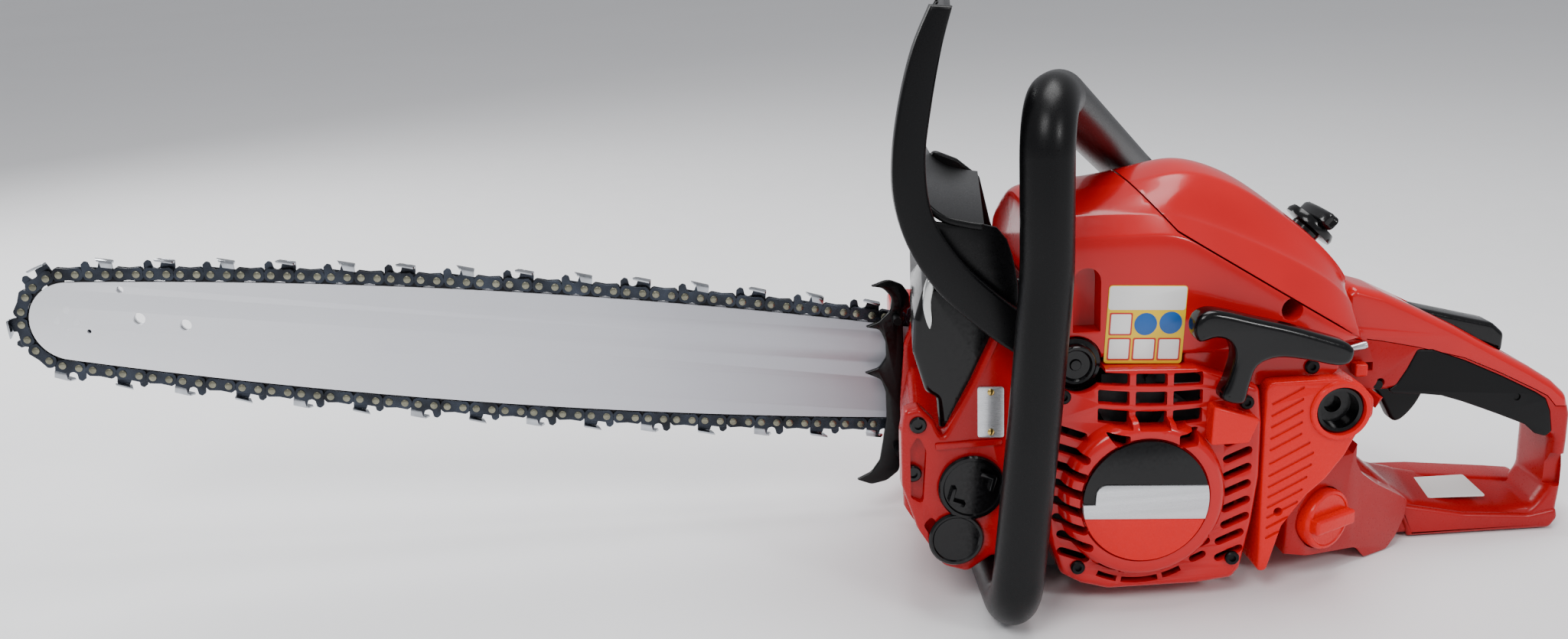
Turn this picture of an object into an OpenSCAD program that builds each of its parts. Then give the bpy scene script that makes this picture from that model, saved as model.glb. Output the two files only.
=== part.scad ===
// Two-stroke chainsaw with a sprocket-nose bar, millimetres.
// -X points along the bar to its nose, +X to the rear handle, +Z is up.
// The starter is on the -Y side, the bar and chain on the +Y side.
// The saw stands on the plane z = 0.

/* [Bar and chain] */
// Distance from the crankshaft to the centre of the bar's nose
nose_distance = 563; // [440:1:600]
// Nose-up tilt of the bar, degrees
bar_pitch = 7; // [4:0.5:9]
// Plane of the chain, from the centre of the saw
chain_y = 67.3; // [66.8:0.1:67.8]
// Radius of the rivet line round the nose
nose_r = 26.5; // [25:0.1:28]
// Half of the rivet line's greatest width
rail_half = 37.3; // [35:0.1:40]
// Number of drive links
drive_count = 78; // [72:2:80]

/* [Powerhead] */
// Crankshaft position along the saw
crank_x = 165; // [164:0.5:166]
// Crankshaft height
crank_z = 70; // [69.5:0.5:70.5]
// Cylinder bore radius
bore_r = 22; // [20:0.5:23]
// Crank throw, half of the stroke
throw_r = 16; // [14:0.5:17]
// Flywheel radius
flywheel_r = 40; // [34:1:41]
// Radius of the round panel on the starter cover
badge_r = 31; // [26:1:33]

/* [Handles] */
// Radius of the front handle tube
tube_r = 12.5; // [11:0.5:13]
// Width of the rear handle
grip_w = 39; // [34:1:42]
// Thickness of the hand guard's shield
shield_t = 3.5; // [3:0.5:5]

/* [Hidden] */
$fn = 48;
red = [0.78, 0.07, 0.08];
dull_red = [0.68, 0.08, 0.08];
black = [0.06, 0.06, 0.07];
steel = [0.62, 0.63, 0.65];
dark_steel = [0.2, 0.2, 0.21];
alloy = [0.72, 0.73, 0.75];
// Moves every part along X, so that the origin is in the middle of the saw's length
mid_x = 6;
module centred() {
    translate([mid_x, 0, 0]) children();
}

// A flat outline drawn in X and Z, given thickness from y0 to y1
module side(y0, y1) {
    translate([0, y1, 0]) rotate([90, 0, 0]) linear_extrude(y1 - y0) children();
}
// A round bar along Y
module bar_y(x, z, y0, y1, r) {
    translate([x, y1, z]) rotate([90, 0, 0]) cylinder(h = y1 - y0, r = r);
}
// A box given by its corners
module box(lo, hi) {
    translate(lo) cube(hi - lo);
}
// Corners rounded to radius r, on an outline
module soften(r) {
    offset(r = r, $fn = 24) offset(delta = -r) children();
}
// Places children in the bar's own frame: its origin on the crankshaft, -X towards the nose
module on_bar() {
    translate([crank_x, chain_y, crank_z]) rotate([0, bar_pitch, 0]) children();
}

// ---- the chain's path, in the bar's frame, u measured from the crankshaft to the nose ----
sprocket_teeth = 7;
link_pitch = 16.51;
sprocket_r = link_pitch * sprocket_teeth / (2 * PI);
apex_from_nose = 268;
rail_r = (pow(apex_from_nose, 2) + pow(rail_half, 2) - pow(nose_r, 2)) / (2 * (rail_half - nose_r));
apex_u = nose_distance - apex_from_nose;
tail_u = 47;
nose_angle = atan2(apex_from_nose, rail_r - rail_half);
tail_angle = asin((apex_u - tail_u) / rail_r);
tail_h = rail_half - rail_r * (1 - cos(tail_angle));
tail_to_sprocket = norm([tail_u, tail_h]);
sprocket_angle = atan2(tail_h, tail_u) + acos(sprocket_r / tail_to_sprocket);
run_nose = nose_r * (90 - nose_angle) * PI / 180;
run_rail = rail_r * (nose_angle + tail_angle) * PI / 180;
run_straight = sqrt(pow(tail_to_sprocket, 2) - pow(sprocket_r, 2));
run_sprocket = sprocket_r * (180 - sprocket_angle) * PI / 180;
half_loop = run_nose + run_rail + run_straight + run_sprocket;
step = 2 * half_loop / drive_count;

// Point and heading at distance s from the nose tip, along the upper run: [u, v, heading]
function upper(s) =
    s < run_nose ? nose_point(s / nose_r * 180 / PI)
    : s < run_nose + run_rail ? rail_point((s - run_nose) / rail_r * 180 / PI)
    : s < run_nose + run_rail + run_straight ? straight_point(s - run_nose - run_rail)
    : sprocket_point((s - run_nose - run_rail - run_straight) / sprocket_r * 180 / PI);
function nose_point(a) = [nose_distance + nose_r * cos(a), nose_r * sin(a), 90 + a];
function rail_point(a) =
    let (b = nose_angle - a)
    [apex_u + rail_r * sin(b), rail_half - rail_r * (1 - cos(b)), 180 - b];
function straight_point(d) =
    let (h = 90 + sprocket_angle)
    [tail_u + d * cos(h), tail_h + d * sin(h), h];
function sprocket_point(a) =
    let (b = sprocket_angle + a)
    [sprocket_r * cos(b), sprocket_r * sin(b), 90 + b];
function along(s) =
    let (t = s % (2 * half_loop), m = upper(2 * half_loop - t))
    t <= half_loop ? upper(t) : [m[0], -m[1], 180 - m[2]];

// Places children on the chain: +X forward along the path, +Z away from the bar
module on_chain(s) {
    p = along(s);
    on_bar() translate([-p[0], 0, p[1]]) rotate([0, p[2] - 180, 0]) children();
}

// Outline of the bar, inset from the rivet line by d
function bar_outline(d) =
    let (n = 24, a0 = nose_angle, a1 = -tail_angle,
         rail = [for (i = [0:n]) let (b = a0 + (a1 - a0) * i / n)
             [-(apex_u + (rail_r - d) * sin(b)), rail_half - rail_r + (rail_r - d) * cos(b)]],
         tip = [for (i = [1:11]) let (a = 90 - nose_angle - i * (180 - 2 * nose_angle) / 12)
             [-(nose_distance + (nose_r - d) * cos(a)), (nose_r - d) * sin(a)]],
         tail = [[-tail_u, 12], [-tail_u, -12]],
         low = [for (i = [n:-1:0]) [rail[i][0], -rail[i][1]]])
    concat(rail, tail, low, [for (i = [10:-1:0]) tip[i]]);

// ---- a tube swept along a path with rounded corners ----
function unit(v) = v / norm(v);
function corner(a, p, b, r, n) =
    let (u = unit(a - p), v = unit(b - p), half = acos(u * v) / 2,
         c = p + unit(u + v) * r / sin(half),
         d0 = p + u * r / tan(half) - c, d1 = p + v * r / tan(half) - c,
         e = unit(d0), w = unit(d1 - e * (d1 * e)), turn = 180 - 2 * half)
    [for (k = [0:n]) c + r * (e * cos(turn * k / n) + w * sin(turn * k / n))];
function path(points, radii, n = 8) =
    concat([points[0]],
        [for (i = [1:len(points) - 2])
            each corner(points[i - 1], points[i], points[i + 1], radii[i - 1], n)],
        [points[len(points) - 1]]);
function ring(centre, dir, r, n) =
    let (u = unit(cross(dir, [1, 0, 0])), v = cross(dir, u))
    [for (k = [0:n - 1]) centre + r * (u * cos(360 * k / n) + v * sin(360 * k / n))];
module sweep(line, r, n = 20) {
    m = len(line);
    dirs = [for (i = [0:m - 1]) unit(line[min(i + 1, m - 1)] - line[max(i - 1, 0)])];
    polyhedron(
        points = [for (i = [0:m - 1]) each ring(line[i], dirs[i], r, n)],
        faces = concat([[for (k = [n - 1:-1:0]) k]], [[for (k = [0:n - 1]) (m - 1) * n + k]],
            [for (i = [0:m - 2], k = [0:n - 1])
                [i * n + k, i * n + (k + 1) % n, (i + 1) * n + (k + 1) % n, (i + 1) * n + k]]));
}

// ---- shared outlines, X and Z ----
starter_outline = [[129, 125], [192, 122], [223, 111], [225, 92], [225, 64], [222, 40], [217, 15],
    [213, 10], [195, 8], [150, 8], [136, 12], [126, 18], [119, 40], [116, 70], [117, 100], [121, 118]];
side_outline = [[226.5, 12], [231, 12], [238, 36], [250, 52], [259, 60], [268, 72], [274, 84],
    [281, 92], [281, 101], [274, 109], [262, 112], [226.5, 112]];
cover_outline = [[113, 150], [111, 190], [115, 199], [122, 203], [146, 204], [163, 206], [180, 209],
    [194, 213], [206, 213], [222, 206], [238, 195], [258, 180], [273, 167], [282, 154], [286, 142],
    [286, 124], [128, 126], [116, 136]];
case_outline = [[56, 42], [68, 24], [80, 20], [92, 28], [111.5, 28], [111.5, 152], [99, 152],
    [68, 90], [60, 106], [50, 108], [48, 98], [48, 68]];
clutch_outline = [[62, 40], [72, 26], [120, 12], [200, 10], [222, 24], [225.8, 60], [222, 96],
    [196, 114], [150, 118], [62, 124]];
handle_outline = [[226.5, 118], [262, 121], [288, 136], [293, 142], [309, 137], [325, 129],
    [350, 116], [375, 101.5], [392, 91.5], [405, 83], [413, 76], [416.2, 66], [416.2, 50], [415, 22],
    [413.5, 5], [410, 0], [300, 0], [296, 10], [226.5, 20]];
finger_outline = [[298, 77], [295, 66], [295, 57], [299, 49], [307, 41], [320, 28], [336, 21],
    [380, 14.5], [399, 13.5], [406, 24], [406, 52], [396, 57], [390, 62], [343, 81], [333, 83],
    [307, 84]];

// ---- engine ----
shaft_r = 8;
web_r = 26;
rod_length = 58;
pin_top = crank_z + throw_r + rod_length;
module crankcase() {
    color(alloy) centred() difference() {
        side(-43.5, 44) soften(6) polygon([[112, 8], [205, 7], [225.5, 24], [225.5, 104], [214, 112],
            [112, 112]]);
        bar_y(crank_x, crank_z, -17, 17, web_r + 7);
        bar_y(crank_x, crank_z, -44, 45, shaft_r + 0.06);
        translate([crank_x, 0, crank_z]) cylinder(h = 50, r = bore_r + 4.1);
        for (x = [124, 206], z = [20, 96]) bar_y(x, z, -44, -30, 2.5);
    }
}
module cylinder_fins() {
    for (z = [120:7:176]) box([crank_x - 31, -31, z], [crank_x + 31, 31, z + 2.6]);
}
module engine_cylinder() {
    barrel_z = 97;
    color(alloy) centred() difference() {
        union() {
            translate([crank_x, 0, barrel_z]) cylinder(h = 87, r = bore_r + 4);
            translate([crank_x - 30, -28, 112.3]) cube([60, 56, 5]);
            cylinder_fins();
            box([crank_x + 20, -14, 126], [crank_x + 31.5, 14, 152]);
        }
        translate([crank_x, 0, barrel_z - 1]) cylinder(h = 72.5, r = bore_r);
        translate([crank_x, 0, 150]) cylinder(h = 40, r = 7.1);
        translate([crank_x + 18, 0, 139]) rotate([0, 90, 0]) cylinder(h = 20, r = 8);
    }
}
module piston() {
    color(alloy) centred() difference() {
        translate([crank_x, 0, pin_top - 15]) cylinder(h = 35, r = bore_r - 0.08);
        translate([crank_x, 0, pin_top - 16]) cylinder(h = 30, r = bore_r - 3.5);
        bar_y(crank_x, pin_top, -30, 30, 5.05);
    }
}
module wrist_pin() {
    color(steel) centred() bar_y(crank_x, pin_top, -20, 20, 5);
}
module connecting_rod() {
    color(steel) centred() difference() {
        union() {
            bar_y(crank_x, pin_top, -6, 6, 9);
            bar_y(crank_x, pin_top - rod_length, -6, 6, 12);
            box([crank_x - 5, -3, pin_top - rod_length], [crank_x + 5, 3, pin_top]);
        }
        bar_y(crank_x, pin_top, -7, 7, 5.05);
        bar_y(crank_x, pin_top - rod_length, -7, 7, 7.05);
    }
}
module crank_pin() {
    color(steel) centred() bar_y(crank_x, pin_top - rod_length, -6.5, 6.5, 7);
}
module crankshaft() {
    color(steel) centred() difference() {
        union() {
            bar_y(crank_x, crank_z, -46, -7, shaft_r);
            bar_y(crank_x, crank_z, 7, 58, shaft_r);
            bar_y(crank_x, crank_z, -68, -45, 6);
            bar_y(crank_x, crank_z, 57, 91, 7.5);
            bar_y(crank_x, crank_z, -16, -7, web_r);
            bar_y(crank_x, crank_z, 7, 16, web_r);
        }
        for (s = [-1, 1]) bar_y(crank_x + s * 16, crank_z + 10, -17, 17, 4.5);
    }
}
module flywheel() {
    fins = 12;
    color(alloy) centred() difference() {
        union() {
            bar_y(crank_x, crank_z, -56, -48, flywheel_r);
            bar_y(crank_x, crank_z, -66, -48, 14);
            for (i = [0:fins - 1])
                translate([crank_x, 0, crank_z]) rotate([0, i * 360 / fins, 0])
                    box([18, -66, -1.5], [flywheel_r - 1, -55, 1.5]);
        }
        bar_y(crank_x, crank_z, -70, -40, 6.02);
    }
}
module clutch_shoes() {
    color(dark_steel) centred() difference() {
        bar_y(crank_x, crank_z, 76, 90, 29.5);
        bar_y(crank_x, crank_z, 70, 95, 7.52);
        for (a = [0, 120, 240])
            translate([crank_x, 0, crank_z]) rotate([0, a, 0]) box([11, 70, -1.5], [32, 95, 1.5]);
    }
}
module clutch_drum() {
    color(dark_steel) centred() difference() {
        bar_y(crank_x, crank_z, 72.2, 92, 33.5);
        bar_y(crank_x, crank_z, 75, 93, 31.2);
        bar_y(crank_x, crank_z, 60, 80, 7.58);
    }
}
function toothed(teeth, root, top, start) = [for (i = [0:teeth * 4 - 1])
    let (a = start + (i - 0.5) * 90 / teeth) (i % 4 < 2 ? top : root) * [cos(a), sin(a)]];
module rim_sprocket() {
    color(steel) centred() difference() {
        on_bar() translate([0, 4.7, 0]) rotate([90, 0, 0]) linear_extrude(9)
            polygon(toothed(sprocket_teeth, 9, 11.3, 180 / sprocket_teeth - 6.4));
        bar_y(crank_x, crank_z, 60, 80, 7.58);
    }
}
module oil_pump() {
    color(dark_steel) centred() difference() {
        union() {
            bar_y(crank_x, crank_z, 44.3, 58, 17);
            box([crank_x - 34, 44.3, crank_z - 22], [crank_x - 8, 56, crank_z - 6]);
        }
        bar_y(crank_x, crank_z, 40, 60, shaft_r + 0.3);
    }
}
module muffler() {
    color(steel) centred() union() {
        box([68, -32, 114.3], [112, 36, 164]);
        box([112, -18, 122], [crank_x - 31.3, 18, 152]);
    }
}
module muffler_guard() {
    color(black) centred() difference() {
        side(-63.5, 40) polygon([[56.5, 146], [56, 134], [62, 113], [66, 111], [68, 94], [111.2, 94],
            [111.2, 168], [60, 168]]);
        side(-60, 41) polygon([[60, 142], [60, 134], [66, 113], [112, 113], [112, 165], [62.5, 165]]);
        side(-60, 41) polygon([[70, 90], [112, 90], [112, 114], [70, 114]]);
    }
}
module spark_plug() {
    color([0.85, 0.85, 0.83]) centred() union() {
        translate([crank_x, 0, 170]) cylinder(h = 14.5, r = 7);
        translate([crank_x, 0, 184.3]) cylinder(h = 7, r = 11, $fn = 6);
        translate([crank_x, 0, 191]) cylinder(h = 9, r = 6);
    }
}
module ignition_coil() {
    color(black) centred() union() {
        box([crank_x - 16, -60, 110.6], [crank_x + 16, -47, 116.5]);
        bar_y(crank_x + 8, 113.5, -63, -46, 2.8);
    }
}
module intake_boot() {
    color(black) centred() difference() {
        translate([crank_x + 31.7, 0, 139]) rotate([0, 90, 0]) cylinder(h = 13, r = 14);
        translate([crank_x + 30, 0, 139]) rotate([0, 90, 0]) cylinder(h = 20, r = 8);
    }
}
module carburettor() {
    color(alloy) centred() difference() {
        union() {
            box([crank_x + 45, -20, 123.5], [crank_x + 72, 20, 155]);
            translate([crank_x + 58, 0, 153]) cylinder(h = 8, r = 10);
        }
        translate([crank_x + 44, 0, 139]) rotate([0, 90, 0]) cylinder(h = 30, r = 8);
    }
}
module air_filter() {
    color([0.9, 0.9, 0.86]) centred() difference() {
        box([crank_x + 72.3, -40, 126], [crank_x + 104, 38, 160]);
        translate([crank_x + 70, 0, 139]) rotate([0, 90, 0]) cylinder(h = 20, r = 8);
    }
}

// ---- casings ----
module oil_tank_housing() {
    color(red) centred() difference() {
        union() {
            side(-72, 54) soften(4) polygon([[50, 45], [62, 26], [74, 8], [111.5, 8], [111.5, 93],
                [54, 93], [49, 70]]);
            side(-72, -64) soften(3) polygon(case_outline);
            side(41, 54) soften(4) polygon([[50, 45], [62, 26], [111.5, 26], [111.5, 114], [128, 128],
                [128, 150], [74, 150], [62, 132], [52, 106], [49, 70]]);
            side(53, 64.6) soften(4) polygon([[67, 62], [111.5, 56], [111.5, 96], [67, 100]]);
        }
        box([78, -80, -1], [113, 2, 28]);
        box([56, -60, 46], [107, 36, 88]);
        bar_y(82, 66, -80, -50, 15.2);
        bar_y(74, 39, -80, -50, 12.3);
        for (u = [68, 92]) on_stud(u, 44, 80, 4.05);
        for (z = [40, 118]) bar_y(62, z, 46, 60, 2.6);
        catcher_box(0.2);
    }
}
module on_stud(u, y0, y1, r) {
    translate([0, -chain_y, 0]) on_bar() translate([-u, y1, 0]) rotate([90, 0, 0])
        cylinder(h = y1 - y0, r = r);
}
module cover_block(d) {
    edge = 1.2 * d;
    difference() {
        side(-68 + d, 52 - d) offset(delta = -d) children();
        translate([0, -68, 187 - edge]) rotate([36, 0, 0]) box([90, -20, 0], [300, 70, 60]);
        translate([0, 52, 177 - edge]) rotate([-32, 0, 0]) box([90, -70, 0], [300, 20, 60]);
    }
}
module top_cover() {
    color(red) centred() difference() {
        cover_block(0) soften(4) polygon(cover_outline);
        cover_block(2.6) polygon(cover_outline);
        box([130, -65.4, 120], [283.4, 49.4, 130]);
        box([110, -60, 110], [134, 48, 168]);
        latch_place() translate([0, 0, -20]) cylinder(h = 40, r = 8.4);
        box([111, 40, 118], [134, 60, 153]);
        bar_y(134, 126, -80, -60, 13);
    }
}
latch_at = [271, -3, 171];
latch_tilt = 44;
module latch_place() {
    translate(latch_at) rotate([0, latch_tilt, 0]) children();
}
module cover_latch() {
    color(black) centred() latch_place() union() {
        translate([0, 0, -8]) cylinder(h = 10, r = 8);
        translate([0, 0, 1]) cylinder(h = 5, r = 14);
        box([-5, -17, 5], [5, 17, 13]);
    }
}
module starter_cover() {
    disc_z = crank_z - 11;
    color(red) centred() difference() {
        union() {
            side(-77, -44) soften(5) polygon(starter_outline);
            bar_y(crank_x, disc_z, -86, -76, 39);
        }
        side(-73.5, -43) soften(3) offset(delta = -4) polygon(starter_outline);
        bar_y(crank_x, crank_z, -82.5, -70, 24);
        bar_y(crank_x, disc_z, -90, -84.5, badge_r + 0.2);
        bar_y(134, 126, -80, -60, 13);
        for (i = [0:2], j = [0:2])
            box([147 + i * 17, -80, 106 - j * 9], [161 + i * 17, -70, 112.5 - j * 9]);
        for (i = [0:5], s = [0, 1])
            box([s * 76 + 120, -80, 34 + i * 11], [s * 76 + 132, -70, 39 + i * 11]);
    }
    color(red) centred() bar_y(crank_x, crank_z, -84, -71, 4.9);
}
module starter_badge() {
    color(steel) centred() bar_y(crank_x, crank_z - 11, -88, -84.6, badge_r);
}
module starter_pulley() {
    color(black) centred() difference() {
        bar_y(crank_x, crank_z, -77.5, -70.5, 22);
        difference() {
            bar_y(crank_x, crank_z, -75.5, -72.5, 23);
            bar_y(crank_x, crank_z, -76, -72, 17);
        }
        bar_y(crank_x, crank_z, -90, -60, 4.98);
    }
}
module recoil_spring() {
    turns = 4;
    n = 20;
    inner = [for (i = [0:turns * n]) let (a = i * 360 / n, r = 8 + 2.6 * i / n) r * [cos(a), sin(a)]];
    outer = [for (i = [turns * n:-1:0]) let (a = i * 360 / n, r = 9 + 2.6 * i / n) r * [cos(a), sin(a)]];
    color(steel) centred() translate([crank_x, -78, crank_z]) rotate([90, 0, 0])
        linear_extrude(4) polygon(concat(inner, outer));
}
module rope_guide() {
    color(red) centred() difference() {
        side(-87, -77.3) polygon([[197, 106], [220, 98], [215, 86], [196, 86]]);
        translate([207, -83, 80]) rotate([0, 12, 0]) cylinder(h = 40, r = 3);
    }
}
module starter_grip() {
    grip_line = [[186, 153], [200, 153], [255, 136], [262, 133], [260, 124], [244, 127], [224, 130],
        [214, 134], [208, 107], [199, 109], [205, 136], [196, 142], [186, 140]];
    color(black) centred() side(-91, -78) soften(2) polygon(grip_line);
}
module side_cover() {
    color(red) centred() difference() {
        side(-76, -44.5) soften(4) polygon(side_outline);
        side(-73, -44) soften(3) offset(delta = -3) polygon(side_outline);
        bar_y(264, 96, -80, -40, 12.4);
    }
}
module clutch_cover() {
    color(red) centred() difference() {
        union() {
            side(54.4, 101) soften(5) polygon(clutch_outline);
            side(54.4, 117.2) soften(8) polygon([[122, 30], [140, 16], [200, 14], [218, 28], [222, 60],
                [216, 92], [190, 108], [150, 112], [124, 104]]);
        }
        side(54, 98) soften(3) offset(delta = -3) polygon(clutch_outline);
        bar_y(crank_x, crank_z, 53, 114, 40);
        box([40, 53, 26], [86, 80, 140]);
        box([60, 54, 53], [116, 66, 103]);
        box([112, 54, 0], [210, 80, 24]);
        for (u = [68, 92]) on_stud(u, 90, 110, 4.3);
        bar_y(118, 118, 50, 120, 4.6);
    }
}
module bar_studs() {
    color(steel) centred() for (u = [68, 92]) on_stud(u, 46, 110, 4);
}
module bar_nuts() {
    color(steel) centred() for (u = [68, 92]) translate([0, -chain_y, 0]) on_bar()
        translate([-u, 109, 0]) rotate([90, 0, 0]) difference() {
            cylinder(h = 7.7, r = 8, $fn = 6);
            translate([0, 0, -1]) cylinder(h = 10, r = 4.02);
        }
}

// ---- bar and chain ----
bar_t = 4.8;
groove = 1.4;
module bar_holes() {
    for (h = [[-526, 4, 3.4], [-501, 2, 3.3], [-536, 20, 2], [-553, -5, 1.2]])
        translate([h[0], 10, h[1]]) rotate([90, 0, 0]) cylinder(h = 20, r = h[2]);
    translate([-58, 10, 0]) rotate([90, 0, 0]) linear_extrude(20)
        polygon([[0, -4.2], [-45, -4.2], [-45, 4.2], [0, 4.2]]);
    translate([-104, 10, 15]) rotate([90, 0, 0]) cylinder(h = 20, r = 3.2);
}
module guide_bar() {
    plate = (bar_t - groove) / 2;
    color(steel) centred() on_bar() difference() {
        union() {
            for (y = [-bar_t / 2, groove / 2])
                translate([0, y + plate, 0]) rotate([90, 0, 0]) linear_extrude(plate)
                    polygon(bar_outline(4.3));
            translate([0, groove / 2 + 0.01, 0]) rotate([90, 0, 0]) linear_extrude(groove + 0.02)
                intersection() {
                    polygon(bar_outline(12.8));
                    translate([-nose_distance + 19, -50]) square([nose_distance, 100]);
                }
        }
        bar_holes();
    }
}
module nose_sprocket() {
    teeth = 10;
    color(dark_steel) centred() on_bar()
        translate([-nose_distance, 0.6, 0]) rotate([90, 0, 0]) linear_extrude(1.2)
            polygon(toothed(teeth, 11.5, 14.5, 0));
}
rivet_half = 3.72;
strap_t = 1.25;
strap_y = 0.72;
module drive_links() {
    color(dark_steel) centred() for (i = [0:drive_count - 1]) on_chain(i * step)
        translate([0, 0.62, 0]) rotate([90, 0, 0]) linear_extrude(1.24)
            polygon([[-6.8, 0], [-5.6, 3], [-2, 3.4], [2, 3.4], [5.6, 3], [6.8, 0], [5.4, -3.4],
                [3.2, -6.4], [-0.6, -8.2], [-4, -6.4], [-5.4, -3.4]]);
}
module strap(side_of) {
    translate([0, side_of > 0 ? strap_y + strap_t : -strap_y, 0]) rotate([90, 0, 0])
        linear_extrude(strap_t)
            polygon([[-7.4, 0], [-6.4, 3.2], [-3, 3.8], [0, 3.2], [3, 3.8], [6.4, 3.2], [7.4, 0],
                [6.4, -3.4], [3, -4], [-3, -4], [-6.4, -3.4]]);
}
module tie_straps() {
    color(dark_steel) centred() for (i = [0:drive_count - 1]) on_chain((i + 0.5) * step) {
        if (i % 4 != 1) strap(1);
        if (i % 4 != 3) strap(-1);
    }
}
// One cutter: side plate with its depth gauge, and the top plate folded over the chain
module cutter(side_of) {
    y0 = side_of > 0 ? strap_y : -strap_y - strap_t;
    translate([0, y0 + strap_t, 0]) rotate([90, 0, 0]) linear_extrude(strap_t)
        polygon([[-7.4, 0], [-7.6, 6.4], [-6.2, 7.2], [-4.4, 6.6], [-3.2, 3.6], [-1.2, 3.2], [0.4, 7],
            [7.6, 6.4], [8, 3], [7.4, 0], [6.4, -3.4], [3, -4], [-3, -4], [-6.4, -3.4]]);
    translate([0, side_of > 0 ? -2.6 : -strap_y - 0.2, 0]) rotate([90, 0, 0])
        translate([0, 0, side_of > 0 ? -strap_y - 2.8 : -strap_y - 2.6]) linear_extrude(3.3)
            polygon([[0.4, 6], [0.2, 7.8], [7.8, 7], [7.8, 5.4]]);
}
module cutters() {
    color(steel) centred() for (i = [0:drive_count - 1]) on_chain((i + 0.5) * step) {
        if (i % 4 == 1) cutter(1);
        if (i % 4 == 3) cutter(-1);
    }
}
module chain_rivets() {
    head = strap_y + strap_t;
    color(steel) centred() for (i = [0:drive_count - 1], s = [-1, 1], y = [head + 0.02, -head - 0.72])
        on_chain(i * step + s * rivet_half + half_loop * 2)
            translate([0, y + 0.7, 0]) rotate([90, 0, 0]) cylinder(h = 0.7, r = 2, $fn = 16);
}
module spiked_bumper() {
    spike = [[60, 24], [64, 34], [66, 60], [66, 104], [66, 124], [71, 128], [69, 134], [64, 139],
        [56, 140], [49, 137], [56, 136], [60, 131], [60, 124], [56, 118], [45, 114], [54, 111],
        [56, 102], [56, 96], [53, 90], [44, 87], [54, 82], [56, 74], [56, 56], [53, 46], [52, 34],
        [46, 25], [38, 22], [47, 18], [55, 20]];
    color(black) centred() difference() {
        side(54.3, 57.3) polygon(spike);
        for (z = [40, 118]) bar_y(62, z, 50, 60, 2.4);
    }
}
module bumper_screws() {
    color(dark_steel) centred() for (z = [40, 118]) {
        bar_y(62, z, 47, 57.5, 2.3);
        bar_y(62, z, 57.4, 60, 3.8);
    }
}
module catcher_box(g) {
    box([96 - g, 40 - g, 7 - g], [110 + g, 50 + g, 30 + g]);
}
module chain_catcher() {
    color(alloy) centred() union() {
        box([97, 41, 8], [109, 49, 29]);
        box([97, 41, 2], [109, 76, 8]);
    }
}
module tension_screw() {
    color(steel) centred() union() {
        translate([72, 62, 52]) rotate([0, 90, 0]) cylinder(h = 36, r = 2.5);
        box([100, 58.5, 49], [104, 64, 56]);
    }
}

// ---- front handle and guard ----
handle_points = [[99, -16, 13], [97, -104.7, 13], [106, -104.7, 110], [111.5, -104.7, 180],
    [111, -104.7, 258], [124, -70, 256], [197, 66, 193], [238, 71, 150], [243, 62, 112], [243, 62, 62]];
module front_handle() {
    color(black) centred() sweep(path(handle_points, [19, 300, 300, 22, 12, 24, 20, 40]), tube_r);
}
module front_handle_mounts() {
    color(black) centred() union() {
        bar_y(99, 13, -15.7, 1.5, 12.8);
        translate([243, 62, 60.3]) cylinder(h = 1.5, r = 14);
    }
}
guard_pivot_at = [118, 140];
function offset_line(line, d) =
    [for (i = [0:len(line) - 1])
        let (t = unit(line[min(i + 1, len(line) - 1)] - line[max(i - 1, 0)])) line[i] + d * [-t[1], t[0]]];
function reversed(line) = [for (i = [len(line) - 1:-1:0]) line[i]];
module hand_guard() {
    shield_line = [[70, 300], [58.5, 275], [54, 250], [53, 228], [57, 210], [67, 201], [88, 197]];
    arm = [[62, 300], [72, 301], [64, 254], [60, 230], [63, 206], [76, 184], [92, 168], [108, 154],
        [124, 148], [126, 138], [118, 132], [102, 136], [80, 154], [63, 171], [51, 192], [45, 214],
        [45, 235], [49, 261]];
    flank = [[58, 208], [66, 199], [94, 196], [103, 176], [103, 158], [90, 168], [70, 188]];
    right_arm = [[84, 212], [98, 206], [110, 196], [116, 170], [126, 144], [124, 134], [116, 132],
        [108, 140], [100, 170], [94, 192], [80, 200]];
    color(black) centred() difference() {
        union() {
            side(-85, -77) polygon(arm);
            side(-77, -74) polygon(flank);
            side(55, 61) polygon(right_arm);
            translate([67, -77, 0]) rotate([0, 0, -9]) side(0, 134.5) translate([-67, 0])
                polygon(concat(shield_line, reversed(offset_line(shield_line, shield_t))));
        }
        bar_y(guard_pivot_at[0], guard_pivot_at[1], -90, 80, 4.05);
    }
}
module guard_pivot() {
    color(steel) centred() union() {
        bar_y(guard_pivot_at[0], guard_pivot_at[1], -86, -68.3, 4);
        bar_y(guard_pivot_at[0], guard_pivot_at[1], -88, -85.2, 7);
        bar_y(guard_pivot_at[0], guard_pivot_at[1], 54.1, 62, 4);
        bar_y(guard_pivot_at[0], guard_pivot_at[1], 61.3, 64, 7);
    }
}
module brake_band() {
    color(steel) centred() difference() {
        bar_y(crank_x, crank_z, 78, 90, 36.2);
        bar_y(crank_x, crank_z, 77, 91, 34.6);
        box([crank_x - 60, 70, crank_z - 12], [crank_x, 95, crank_z + 12]);
    }
}

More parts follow.
